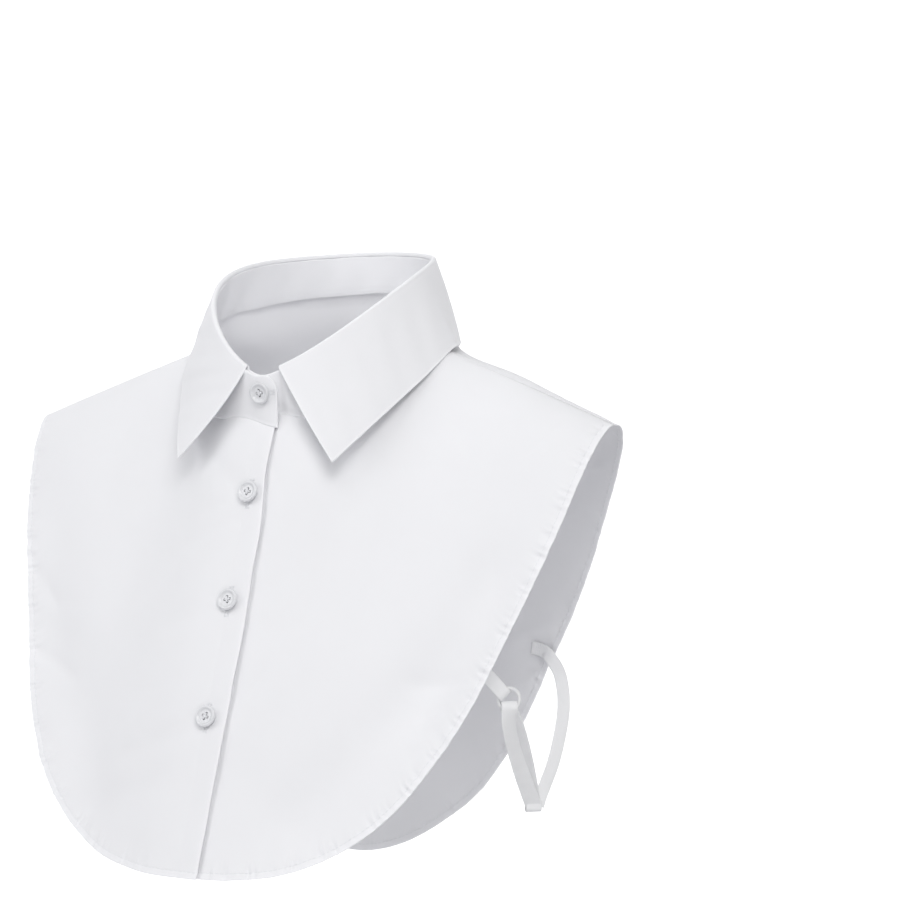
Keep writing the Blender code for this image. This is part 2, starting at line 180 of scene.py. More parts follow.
def add_camera():
    """Camera turned by its yaw about the upright, then tipped down by its pitch."""
    data = bpy.data.cameras.new("camera")
    data.lens = CAMERA_LENS
    data.sensor_width = 36
    camera = bpy.data.objects.new("camera", data)
    bpy.context.scene.collection.objects.link(camera)
    camera.location = CAMERA_PLACE
    camera.rotation_euler = (math.radians(90 - CAMERA_PITCH), 0, math.radians(CAMERA_YAW))
    bpy.context.scene.camera = camera


add_camera()
bpy.context.scene.view_settings.view_transform = "Standard"
print("camera", CAMERA_PLACE)

# %% Lamps and world
LAMPS = (
    # name, place, size, power, colour
    ("key", (1.25, -1.65, 1.75), 1.4, 28.5, (1.0, 0.995, 0.985)),
    ("left", (-1.6, -1.5, 0.9), 1.5, 12.5, (0.98, 0.985, 1.0)),
    ("low", (1.25, -1.45, -0.25), 0.9, 5, (1.0, 1.0, 1.0)),
    ("top", (-0.2, -1.0, 1.75), 1.3, 5.5, (1.0, 1.0, 1.0)),
)
LAMP_AIM = (0, 0, -0.07)
WORLD_STRENGTH = 0.34
WORLD_COLOUR = (0.97, 0.98, 1.0, 1)


def add_lamp(name, place, size, power, colour):
    """Square soft lamp that looks at the middle of the garment."""
    data = bpy.data.lights.new(name, "AREA")
    data.size = size
    data.energy = power
    data.color = colour
    lamp = bpy.data.objects.new(name, data)
    bpy.context.scene.collection.objects.link(lamp)
    lamp.location = place
    lamp.visible_camera = False
    aim = Vector(LAMP_AIM) - Vector(place)
    lamp.rotation_euler = aim.to_track_quat("-Z", "Y").to_euler()


for row in LAMPS:
    add_lamp(*row)
world = bpy.data.worlds.new("studio")
world.use_nodes = True
background = world.node_tree.nodes["Background"]
background.inputs["Color"].default_value = WORLD_COLOUR
background.inputs["Strength"].default_value = WORLD_STRENGTH
bpy.context.scene.world = world
print(len(LAMPS), "lamps")

# %% [markdown]
# ## Mesh helpers
#
# A cloth piece starts as a grid of points on its middle surface. Moving the grid out along its normals
# gives the right side, moving it in gives the wrong side, and a strip round the border joins the two.
# Where the thickness runs to nothing at a border, over a few close grid lines, the edge comes out round.


# %% Lengths, directions and curves
UP = np.array([0, 0, 1.0])


def unit(vectors):
    """Vectors divided by their length."""
    return vectors / np.linalg.norm(vectors, axis=-1, keepdims=True)


def square_to(vectors, direction):
    """What is left of v without its part along a unit direction: v - d (v . d)."""
    return vectors - direction * np.sum(vectors * direction, axis=-1, keepdims=True)


def lengths(points, axis):
    """Length walked along a path, or along a grid's rows or columns, from its first point."""
    step = np.linalg.norm(np.diff(points, axis=axis), axis=-1)
    first = np.zeros_like(np.take(step, [0], axis=axis))
    return np.concatenate([first, np.cumsum(step, axis=axis)], axis=axis)


def read_along(at, walk, rows):
    """Rows read off at wanted lengths of a walk, in a straight line from one row to the next."""
    return np.stack([np.interp(at, walk, column) for column in rows.T], axis=-1)


def ease(value):
    """Smooth step from 0 to 1: v^2 (3 - 2 v)."""
    value = np.clip(value, 0, 1)
    return value * value * (3 - 2 * value)


def bell(value, width):
    """Bell curve e^(-(value / width)^2), 1 in the middle and 0.37 at its width."""
    return np.exp(-(value / width) ** 2)


def smooth_curve(rows, shares):
    """Smooth curve through the rows at equal shares of its length (Catmull-Rom), evenly walked."""
    rows = np.asarray(rows, float)
    ends = np.vstack([2 * rows[0] - rows[1], rows, 2 * rows[-1] - rows[-2]])
    place = np.linspace(0, len(rows) - 1 - 1e-9, 80 * len(rows))
    cell = place.astype(int)
    t = (place - cell)[:, None]
    a, b, c, d = (ends[cell + k] for k in range(4))
    square = (2 * a - 5 * b + 4 * c - d) * t ** 2
    cube = (3 * b - a - 3 * c + d) * t ** 3
    fine = 0.5 * (2 * b + (c - a) * t + square + cube)
    walk = lengths(fine, 0)
    return read_along(np.asarray(shares) * walk[-1], walk, fine)


# %% Meshes from arrays
def surface_normals(points):
    """Unit normals of a grid: the cross product of its two directions of travel."""
    along = np.gradient(points, axis=0)
    across = np.gradient(points, axis=1)
    normal = np.cross(along, across)
    return normal / np.maximum(np.linalg.norm(normal, axis=-1, keepdims=True), 1e-12)


def grid_faces(rows, columns, first=0):
    """Corner numbers of each four-sided face of a grid whose numbering starts at `first`."""
    corner = first + np.arange(rows - 1)[:, None] * columns + np.arange(columns - 1)[None]
    quads = np.stack([corner, corner + 1, corner + columns + 1, corner + columns], axis=-1)
    return quads.reshape(-1, 4)


def border(rows, columns):
    """Numbers of a grid's border points, walked once round."""
    numbers = np.arange(rows * columns).reshape(rows, columns)
    return np.concatenate([numbers[0, :-1], numbers[:-1, -1], numbers[-1, :0:-1], numbers[:0:-1, 0]])


def plain_object(name, points, faces):
    """Smooth mesh object, its faces turned outward if the volume they enclose comes out negative."""
    mesh = bpy.data.meshes.new(name)
    mesh.from_pydata(points, [], faces)
    mesh.shade_smooth()
    mesh.calc_loop_triangles()
    corners = np.empty(len(mesh.loop_triangles) * 3, dtype=np.int32)
    mesh.loop_triangles.foreach_get("vertices", corners)
    places = np.empty(len(mesh.vertices) * 3, dtype=np.float32)
    mesh.vertices.foreach_get("co", places)
    a, b, c = places.reshape(-1, 3).astype(float)[corners.reshape(-1, 3)].transpose(1, 0, 2)
    if np.sum(a * np.cross(b, c)) < 0:
        mesh.flip_normals()
    item = bpy.data.objects.new(name, mesh)
    bpy.context.scene.collection.objects.link(item)
    return item


def mesh_object(name, points, faces, uv=None, fields=None):
    """Smooth mesh object from arrays, with a UV point and any named fields for each vertex."""
    item = plain_object(name, points.reshape(-1, 3), faces.tolist())
    mesh = item.data
    corners = np.empty(len(mesh.loops), dtype=np.int32)
    mesh.loops.foreach_get("vertex_index", corners)
    if uv is not None:
        layer = mesh.uv_layers.new(name="cut")
        layer.data.foreach_set("uv", uv.reshape(-1, 2)[corners].astype(np.float32).ravel())
    for field, values in (fields or {}).items():
        layer = mesh.attributes.new(field, "FLOAT", "POINT")
        layer.data.foreach_set("value", np.asarray(values, dtype=np.float32).ravel())
    return item


def cloth_shell(name, points, normals, outer, inner, uv, edge, double=None, light=0.0):
    """Closed cloth: right side at P + n * outer, wrong side at P - n * inner, joined round the border.

    `light` says how far the wrong side is painted lighter, as painted light coming through the thin cloth; `edge` is a
    painted highlight along edges and folds.
    """
    rows, columns = points.shape[:2]
    count = rows * columns
    right = points + normals * outer[..., None]
    wrong = points - normals * inner[..., None]
    front_faces = grid_faces(rows, columns)
    back_faces = grid_faces(rows, columns, count)[:, ::-1]
    ring = border(rows, columns)
    after = np.roll(ring, -1)
    rim = np.stack([after, ring, ring + count, after + count], axis=-1)
    everything = np.concatenate([front_faces, back_faces, rim])
    vertices = np.concatenate([right.reshape(-1, 3), wrong.reshape(-1, 3)])
    double = np.zeros_like(edge) if double is None else double
    # The edge field is a painted highlight; on the wrong side it also takes the painted light that comes through the
    # cloth.
    wrong_side_painted_light = np.maximum(edge, light)
    fields = {"edge": np.concatenate([edge.ravel(), wrong_side_painted_light.ravel()]),
              "double": np.tile(double.ravel(), 2)}
    return mesh_object(name, vertices, everything, np.tile(uv.reshape(-1, 2), (2, 1)), fields)


def round_edge(distance, radius):
    """Half thickness share near an edge: a quarter circle, sqrt(1 - (1 - d/r)^2), then 1."""
    inward = 1 - np.clip(distance / radius, 0, 1)
    return np.sqrt(np.maximum(1 - inward ** 2, 0.0025))


# %% [markdown]
# ## The worn form
#
# The shoulder line runs from the neck down to the shoulder tip. In front and behind, the cloth rounds
# over it and then falls at a steady lean. `root` is the square root of the drop in millimetres: with
# it, equal steps are short on the tight curve over the shoulder and long on the flat fall below.

# %% Sizes of the worn form
SHOULDER_HALF = 173 * MM
NECK_HALF = 64 * MM
NECK_CENTRE_Y = 10 * MM
NECK_FRONT = 57.3 * MM
NECK_BACK = 62 * MM
SHOULDER_SLOPE = 0.39
RIDGE_ROUND = 40 * MM
RIDGE_Y_MIDDLE = 14.5 * MM
RIDGE_Y_TIP = 2 * MM
NAPE_RISE = 9 * MM
NAPE_SIDE = 25 * MM
NAPE_SIDE_FADE = 14 * MM
NECK_RISE = 17 * MM
NECK_RISE_START = 0.03
NECK_RISE_FADE = 0.055
NECK_RISE_DROP = 40 * MM
HOLLOW_X = 80 * MM
HOLLOW_WIDTH = 38 * MM
FORM = {
    "front": dict(way=-1, reach_middle=43 * MM, reach_tip=16.5 * MM, power=1.5,
                  fall_middle=14 * MM, fall_tip=20 * MM, hollow=115 * MM, lean=0.36),
    "back": dict(way=1, reach_middle=91 * MM, reach_tip=36 * MM, power=2.2,
                 fall_middle=18.6 * MM, fall_tip=30 * MM, hollow=0, lean=-0.20),
}
# (columns x, z in millimetres, from the middle of the hem up to the shoulder tip)
FRONT_EDGE = ((0, -219.5), (28, -218.5), (56, -213.5), (83, -201), (104, -182.5), (120.5, -158),
              (133, -132), (147, -92), (159.5, -53), (168.5, -17), (173, 0))
BACK_EDGE = ((0, -238), (28, -232), (54, -217), (80, -195), (102, -165), (121, -125),
             (136, -92), (150, -54), (160, -28), (168.5, -10), (173, 0))


def shoulder_line(x, side):
    """Depth and height of the shoulder line at x; behind, it rises to the nape inside the neck."""
    slope = SHOULDER_SLOPE * (np.hypot(RIDGE_ROUND, SHOULDER_HALF) - np.hypot(RIDGE_ROUND, x))
    nape = NAPE_RISE * np.clip(1 - (x / NECK_HALF) ** 2, 0, 1) ** 2
    y = RIDGE_Y_MIDDLE + (RIDGE_Y_TIP - RIDGE_Y_MIDDLE) * np.abs(x) / SHOULDER_HALF
    return y, slope + (nape if side == "back" else 0)


def worn_point(x, root, side):
    """Point of the worn form, depth = reach * sqrt(1 - e^(-drop / fall)) + lean * drop.

    Round the neck, behind and beside it, the cloth rises again by a height that fades with distance,
    and between the nape and the shoulders it rises a little more.
    """
    shape = FORM[side]
    drop = root ** 2 * MM
    out = (np.abs(x) / SHOULDER_HALF) ** shape["power"]
    reach = shape["reach_middle"] + (shape["reach_tip"] - shape["reach_middle"]) * out
    fall = shape["fall_middle"] + (shape["fall_tip"] - shape["fall_middle"]) * out
    fall = fall + shape["hollow"] * np.exp(-((np.abs(x) - HOLLOW_X) / HOLLOW_WIDTH) ** 2)
    y, z = shoulder_line(x, side)
    y = y + shape["way"] * (reach * np.sqrt(1 - np.exp(-drop / fall)) + shape["lean"] * drop)
    from_neck = np.hypot(x / NECK_HALF, (y - NECK_CENTRE_Y) / NECK_BACK) - 1 - NECK_RISE_START
    rise = NECK_RISE * ease(y / (60 * MM) + 0.5)
    rise = rise * np.exp(-np.maximum(from_neck, 0) / NECK_RISE_FADE - (drop / NECK_RISE_DROP) ** 2)
    if side == "back":
        inside = np.clip(1 - (x / NECK_HALF) ** 2, 0, 1)
        shoulder = (1 - inside) ** 0.95 * inside ** 1.3
        rise = rise + NAPE_SIDE * shoulder * np.exp(-(drop / NAPE_SIDE_FADE) ** 2)
    return np.stack([x, y, z - drop + rise], axis=-1)


def root_at_height(x, z, side):
    """The form's root value at height z, the other way round from worn_point."""
    return np.sqrt(np.maximum(shoulder_line(x, side)[1] - z, 0) / MM)


def root_at_depth(x, y, side):
    """The form's root value where it reaches depth y, by halving the range again and again."""
    low = np.zeros_like(x)
    high = np.full_like(x, 7.0)
    for _ in range(40):
        middle = (low + high) / 2
        beyond = (worn_point(x, middle, side)[..., 1] - y) * FORM[side]["way"] > 0
        high = np.where(beyond, middle, high)
        low = np.where(beyond, low, middle)
    return (low + high) / 2


def neckline(angle, grow, side):
    """Neckline as (x, root), at angles from the front middle, under a plan ellipse round the neck."""
    x = (NECK_HALF + grow) * np.sin(angle)
    depth = NECK_FRONT + grow * 0.3 if side == "front" else NECK_BACK + grow
    return np.stack([x, root_at_depth(x, NECK_CENTRE_Y - depth * np.cos(angle), side)], axis=-1)


print("shoulder tip at", worn_point(np.array([SHOULDER_HALF]), np.array([0.0]), "front").round(4))

# %% [markdown]
# ## Creases and puckers
#
# Pressed shirting is never quite flat. Soft troughs lie where the strap pulls, beside the buttons and
# where the front turns in under the arm, and the narrow hem puckers along its stitching. Each crease is
# a row of a table, and its profile is a bell curve that dies away at both ends.

# %% Tables of creases
# (columns x, z of one end, x, z of the other, width, depth; all in millimetres, depth inward)
FRONT_CREASES = (
    (136, -34, 130, -78, 16, 3.2), (130, -78, 109, -128, 17, 4.4), (109, -128, 60, -186, 18, 4.0),
    (131, -130, 110, -139, 3.0, 1.1), (128, -121, 100, -124, 3.6, 0.9), (124, -143, 106, -156, 3.4, 0.9),
    (118, -150, 98, -170, 3.6, 0.6), (-12, -30, -36, -14, 5.0, 0.7), (6, -33, -22, -44, 3.6, 0.4),
    (-4, -47, -34, -62, 4.5, 0.5), (-8, -93, -34, -102, 4.5, 0.5), (-6, -149, -48, -166, 5.5, 0.9),
    (8, -139, 24, -126, 4.5, 0.5), (5, -86, 26, -78, 4.5, 0.45), (88, 6, 104, -12, 4.0, 0.5),
    (150, 0, 138, -12, 3.0, 0.5), (-136, -60, -122, -116, 18, 2.4), (-122, -116, -72, -180, 19, 2.4),
    (-130, -122, -104, -132, 3.4, 0.8), (-146, -80, -126, -96, 4.0, 0.8), (-60, -50, -80, -150, 26, 1.6),
    (44, -50, 36, -160, 28, 1.4), (-36, -8, -60, -34, 9.0, 0.9), (36, -10, 52, -40, 9.0, 0.8),
    (-90, 2, -112, -18, 6.0, 0.5), (20, -170, 64, -200, 9.0, 0.7), (-24, -178, -70, -196, 9.0, 0.8),
)
BACK_CREASES = (
    (-150, -28, 150, -24, 3.0, 0.7), (-140, -47, 140, -50, 3.6, 0.9), (0, 10, 0, -226, 3.4, 0.4),
    (60, -30, 96, -150, 26, 2.4), (-60, -30, -96, -150, 26, 2.4), (118, -108, 94, -118, 3.6, 1.2),
    (-118, -108, -94, -118, 3.6, 1.2), (116, -130, 96, -146, 3.6, 0.9), (-116, -130, -96, -146, 3.6, 0.9),
    (30, -60, 12, -200, 24, 1.6), (-34, -80, -18, -210, 24, 1.4), (112, -60, 84, -66, 5.0, 0.6),
    (-110, -74, -80, -70, 5.0, 0.6),
)
# (columns length of one wave, height)
SWELL = ((130 * MM, 0.55 * MM), (75 * MM, 0.32 * MM), (48 * MM, 0.16 * MM), (31 * MM, 0.08 * MM))


def crease_depth(x, z, table):
    """Sum of the creases at each point: depth * e^(-(aside / width)^2), eased to nothing at the ends."""
    total = np.zeros_like(x)
    for x0, z0, x1, z1, width, depth in np.array(table) * MM:
        run = np.array([x1 - x0, z1 - z0])
        length = np.hypot(*run)
        along = ((x - x0) * run[0] + (z - z0) * run[1]) / length
        aside = ((x - x0) * run[1] - (z - z0) * run[0]) / length
        ends = np.clip(np.maximum(-along, along - length), 0, None)
        total += depth * np.exp(-(aside / width) ** 2 - (ends / (width * 1.5)) ** 2)
    return total


def sinking(x, z, side):
    """How far the cloth lies inside its form: the creases less the soft waves."""
    if side == "front":
        return crease_depth(x, z, FRONT_CREASES) - soft_waves(x, z, 5) * 0.8
    return crease_depth(x, z, BACK_CREASES) - soft_waves(x, z, 9)


def soft_waves(x, z, seed):
    """Slow uneven swell of hanging cloth: a few long sine waves, each at its own slant."""
    rng = np.random.default_rng(seed)
    total = np.zeros_like(x)
    for length, height in SWELL:
        slant, phase = rng.uniform(-0.6, 0.6), rng.uniform(0, 2 * math.pi)
        along = x * math.cos(slant) + z * math.sin(slant)
        total += height * np.sin(along * 2 * math.pi / length + phase)
    return total


def uneven_waves(walk, length, seed):
    """Sine wave along an edge whose pitch and height wander: sin(2 pi w / length + wander)."""
    rng = np.random.default_rng(seed)
    wander = sum(rng.uniform(0.6, 1.6) * np.sin(walk / (length * k) * 2 * math.pi + rng.uniform(0, 6.28))
                 for k in (2.3, 3.7, 6.1))
    height = 0.62 + 0.38 * np.sin(walk / (length * 4.7) * 2 * math.pi + rng.uniform(0, 6.28))
    return height * np.sin(walk / length * 2 * math.pi + wander)


print(len(FRONT_CREASES), "front creases,", len(BACK_CREASES), "back creases")

# %% [markdown]
# ## Fronts and back
#
# Each panel is a ruled patch between its neckline and its free edge. Close to the free edge the grid
# lines are set at measured distances from it, so that the narrow turned hem, its step on the wrong side
# and its line of stitching all follow the edge exactly.

# %% Panel grid
HEM_LINES = np.array([13, 10, 7.8, 6.2, 5.2, 4.7, 4.3, 3.9, 3.6, 3.3, 3.0, 2.5, 1.8, 1.1,
                      0.6, 0.3, 0.1, 0]) * MM
HEM_WIDTH = 4.4 * MM
HEM_STITCH = 3.3 * MM
NECK_TUCK = 0.3 * MM
PANEL_ROWS = 76
CLOTH_OUT = 0.30 * MM
CLOTH_IN = 0.28 * MM
HEM_STEP = {"front": 0.42 * MM, "back": 0.15 * MM}
# (columns pitch along the hem, height) of the puckers, fine and broad, and of the wave of the edge
PUCKERS = ((4.9 * MM, 0.44 * MM), (13 * MM, 0.50 * MM))
EDGE_WAVE = (23 * MM, 0.30 * MM)
STITCH_SINK = 0.26 * MM
HEM_RIDGE = 0.12 * MM
SEAM_SINK = 0.30 * MM
CUT_SHIFT = (0.2, 0.35)
CUT_STEPS = 25


def free_edge(table, first_x, shares):
    """The free edge (x, z) from first_x, near the middle of the hem, up to a shoulder tip."""
    mirrored = [(-x, z) for x, z in table[:0:-1]]
    whole = smooth_curve(np.array(mirrored + list(table)) * MM, np.linspace(0, 1, 1600))
    start = int(np.searchsorted(whole[:, 0], first_x))
    share = (first_x - whole[start - 1, 0]) / (whole[start, 0] - whole[start - 1, 0])
    first = whole[start - 1] * (1 - share) + whole[start] * share
    kept = np.vstack([first, whole[start:]])
    walk = lengths(kept, 0)
    return read_along(shares * walk[-1], walk, kept)


def panel_grid(inner, outer, side):
    """Ruled patch P(t) = form(inner * (1 - t) + outer * t), with rows at fixed distances from the edge.

    Returns the points, each point's distance from the free edge, the place along the edge that lies
    square to it, and (x, root).
    """
    edge = worn_point(outer[:, 0], outer[:, 1], side)
    step = 0.03
    near = inner * step + outer * (1 - step)
    speed = (edge - worn_point(near[:, 0], near[:, 1], side)) / step
    tangent = unit(np.gradient(edge, axis=0))
    rate = np.linalg.norm(square_to(speed, tangent), axis=1)
    hem_share = 1 - HEM_LINES[:, None] / rate[None]
    body_share = np.linspace(0, 1, PANEL_ROWS)[:-1, None] ** 1.1 * hem_share[:1]
    share = np.vstack([body_share, hem_share])[..., None]
    place = inner[None] * (1 - share) + outer[None] * share
    walk = lengths(edge, 0)
    points = worn_point(place[..., 0], place[..., 1], side)
    distance = (1 - share[..., 0]) * rate[None]
    slant = np.sum(speed * tangent, axis=1) / rate
    foot = walk[None] - np.clip(slant, -2, 2)[None] * distance
    return points, distance, foot, place


def cut_position(place, side):
    """Where each point lies on the flat cut: x, and the length of cloth from the shoulder line."""
    steps = np.linspace(0, 1, CUT_STEPS)[:, None, None]
    x = np.broadcast_to(place[..., 0], (CUT_STEPS,) + place.shape[:2])
    length = lengths(worn_point(x, place[..., 1] * steps, side), 0)[-1]
    return np.stack([place[..., 0] + CUT_SHIFT[0], CUT_SHIFT[1] - length], axis=-1)


def hem_relief(distance, walk, seed, strength, pressed):
    """Puckers of the stitched hem, highest beside the stitching, and a slight wave of the very edge."""
    pucker = sum(uneven_waves(walk, pitch, seed + k) * height for k, (pitch, height) in enumerate(PUCKERS))
    near = bell(distance - 3.6 * MM, 3.9 * MM)
    edge_wave = uneven_waves(walk, EDGE_WAVE[0], seed + 2) * EDGE_WAVE[1] * np.exp(-distance / (7 * MM))
    sunk = -STITCH_SINK * bell(distance - HEM_STITCH, 0.55 * MM)
    ridge = HEM_RIDGE * ease((HEM_WIDTH - distance) / (0.9 * MM))
    return strength * (pucker * near + edge_wave) + (sunk + ridge) * pressed


def from_shoulder(place, side):
    """Length of cloth between each point and the shoulder line."""
    ridge = worn_point(place[..., 0], np.zeros(place.shape[:2]), side)
    return np.linalg.norm(worn_point(place[..., 0], place[..., 1], side) - ridge, axis=-1)


def seam_calm(place, side):
    """Nothing moves at the shoulder seam, so that front and back stay joined there."""
    return ease(from_shoulder(place, side) / (9 * MM))


def seam_groove(place, side):
    """Soft groove along the shoulder seam: depth * e^(-(length / width)^2)."""
    return SEAM_SINK * bell(from_shoulder(place, side), 0.7 * MM)


def hem_field(distance):
    """1 over the turned hem and 0 on the single cloth beyond it."""
    return ease((HEM_WIDTH - distance) / (0.6 * MM))


def hem_thickness(distance, side):
    """Outer and inner half walls: the hem's turning is a step on the wrong side, and edges are round."""
    turned = hem_field(distance)
    soft = round_edge(distance, 0.45 * MM)
    return CLOTH_OUT * soft, (CLOTH_IN + HEM_STEP[side] * turned) * soft


# %% Build the fronts
FRONT_LAP = 12.2 * MM
FRONT_COLUMNS = 480
LAYER_STEP = 1.73 * MM
PLACKET_WIDTH = 24 * MM
PLACKET_STEP = 0.35 * MM
LAP_REACH = 14 * MM
LAP_GROOVE = 0.75 * MM
# how strongly a hem puckers: in the lap, on the wearer's left front and on the right one
LAP_STRENGTH = 0.09
HEM_STRENGTH = {1: 1.0, -1: 0.75}
EDGE_SWELL = 0.46 * MM
EDGE_WANDER = 0.35 * MM


def edge_shares(count, fine):
    """Shares 0 to 1 with extra close steps at the start, where the folded front edge is rounded."""
    return np.concatenate([fine, np.linspace(fine[-1], 1, count - len(fine) + 1)[1:]])


def front_layer(x, hand):
    """How far a front stands off the form at x: the right one steps over the left one at the lap."""
    return LAYER_STEP * ease((x + 42 * MM) / (26 * MM)) if hand < 0 else np.zeros_like(x)


def lap_edge(z):
    """How far the upper front's folded edge lies inside the lap's full width: more towards the neck."""
    low = 1.1 * ease((z + 100 * MM) / (50 * MM))
    return (1.3 + low + 3.0 * ease((z + 50 * MM) / (28 * MM))) * MM


def build_front(name, hand, seed):
    """One front, from the folded edge at the middle round to the shoulder seam."""
    first_x = -hand * FRONT_LAP
    shares = edge_shares(FRONT_COLUMNS, np.array([0, 0.0003, 0.0009, 0.0018, 0.003, 0.006, 0.01]))
    start = math.asin(first_x / (NECK_HALF + NECK_TUCK))
    angles = start + (hand * math.pi / 2 - start) * shares
    inner = neckline(angles, NECK_TUCK, "front")
    edge = free_edge(FRONT_EDGE, hand * first_x, shares)
    outer = np.stack([edge[:, 0] * hand, root_at_height(edge[:, 0], edge[:, 1], "front")], axis=-1)
    inner[-1, 1] = outer[-1, 1] = 0.01
    points, distance, walk, place = panel_grid(inner, outer, "front")
    normals = surface_normals(points) * hand
    x, z = points[..., 0], points[..., 2]
    in_lap = ease((np.abs(x) - 13 * MM) / (10 * MM))
    strength = LAP_STRENGTH + (HEM_STRENGTH[hand] - LAP_STRENGTH) * in_lap
    relief = hem_relief(distance, walk, seed, strength, 1.0)
    relief -= sinking(x, z, "front")
    relief *= seam_calm(place, "front")
    relief -= seam_groove(place, "front")
    from_edge = np.abs(x - first_x)
    down = -z
    loose = np.exp(-from_edge / (7 * MM)) * ease(distance / (25 * MM)) * (1 if hand < 0 else 0.3)
    relief += EDGE_SWELL * (1 + uneven_waves(down, 38 * MM, seed + 7)) * loose
    if hand > 0:
        line = FRONT_LAP - lap_edge(z)
        uneven = 0.8 + 0.2 * uneven_waves(down, 33 * MM, 5)
        relief -= LAP_GROOVE * uneven * bell(x - line + 0.6 * MM, 1.5 * MM)
    points = points + normals * relief[..., None]
    points[..., 0] += EDGE_WANDER * uneven_waves(down, 51 * MM, seed + 9) * loose
    if hand < 0:
        points[..., 0] -= lap_edge(z) * bell(from_edge, LAP_REACH)
    points[..., 1] -= front_layer(x, hand)
    outward, inward = hem_thickness(distance, "front")
    placket = ease((PLACKET_WIDTH - from_edge) / (0.6 * MM)) * ease(distance / HEM_WIDTH)
    inward = inward + PLACKET_STEP * placket
    fold = round_edge(from_edge, 0.6 * MM)
    # Painted highlight along the hem's edge and the folded front edge, carried by the edge field.
    item = cloth_shell(name, points, normals, outward * fold, inward * fold, cut_position(place, "front"),
                       np.exp(-np.minimum(distance, from_edge) / (1.0 * MM)), hem_field(distance))
    return item, points, normals, distance


# %% [markdown]
# Materials come before the pieces are dressed, because each piece takes its own as it is made.

# %% Node helpers
def add_node(tree, kind, settings=None, **inputs):
    """Add a shader node, set its properties, and set or link its inputs, by name or as _number."""
    node = tree.nodes.new(kind)
    for key, value in (settings or {}).items():
        setattr(node, key, value)
    for key, value in inputs.items():
        socket = node.inputs[int(key[1:])] if key[1:].isdigit() else node.inputs[key.replace("_", " ")]
        if isinstance(value, bpy.types.NodeSocket):
            tree.links.new(value, socket)
        else:
            socket.default_value = value
    return node


def new_material(name, roughness, sheen=0.0, coat=0.0, specular=0.5):
    """Material with a Principled shader whose even values are set on its own sockets."""
    material = bpy.data.materials.new(name)
    material.use_nodes = True
    shader = material.node_tree.nodes["Principled BSDF"]
    shader.inputs["Roughness"].default_value = roughness
    shader.inputs["Specular IOR Level"].default_value = specular
    shader.inputs["Sheen Weight"].default_value = sheen
    shader.inputs["Sheen Roughness"].default_value = 0.45
    shader.inputs["Coat Weight"].default_value = coat
    return material, material.node_tree, shader


def link_surface(tree, shader, tint, shade, bump):
    """Base colour = tint * shade, and the normal from the last bump."""
    colour = add_node(tree, "ShaderNodeVectorMath", settings={"operation": "SCALE"}, _0=tint, Scale=shade)
    tree.links.new(colour.outputs[0], shader.inputs["Base Color"])
    tree.links.new(bump.outputs[0], shader.inputs["Normal"])


def math_node(tree, operation, first, second=0.0, third=0.0):
    """One arithmetic node; returns its result."""
    node = add_node(tree, "ShaderNodeMath", settings={"operation": operation}, _0=first, _1=second, _2=third)
    return node.outputs[0]


def weave_height(tree, across, along, pitch_across, pitch_along):
    """Plain weave: |sin| ridges of one thread system over the other, swapped in a checker pattern."""
    u = math_node(tree, "MULTIPLY", across, math.pi / pitch_across)
    v = math_node(tree, "MULTIPLY", along, math.pi / pitch_along)
    sine_u = math_node(tree, "SINE", u)
    sine_v = math_node(tree, "SINE", v)
    swap = math_node(tree, "MULTIPLY", sine_u, sine_v)
    over = math_node(tree, "MULTIPLY_ADD", math_node(tree, "SIGN", swap), 0.5, 0.5)
    warp = math_node(tree, "MULTIPLY", math_node(tree, "ABSOLUTE", sine_u), over)
    under = math_node(tree, "SUBTRACT", 1.0, over)
    weft = math_node(tree, "MULTIPLY", math_node(tree, "ABSOLUTE", sine_v), under)
    return math_node(tree, "ADD", warp, weft)


# %% [markdown]
# ## Shirting
#
# Smooth white poplin: a close plain weave of fine threads, a little uneven in thickness, with a soft
# matt sheen. The weave reads the piece's own flat cut, so the threads run down each panel. Edges and
# folds carry a painted highlight, and the low places of the weave carry a painted shade.

# %% Shirting material
THREAD_PITCH = 0.26 * MM


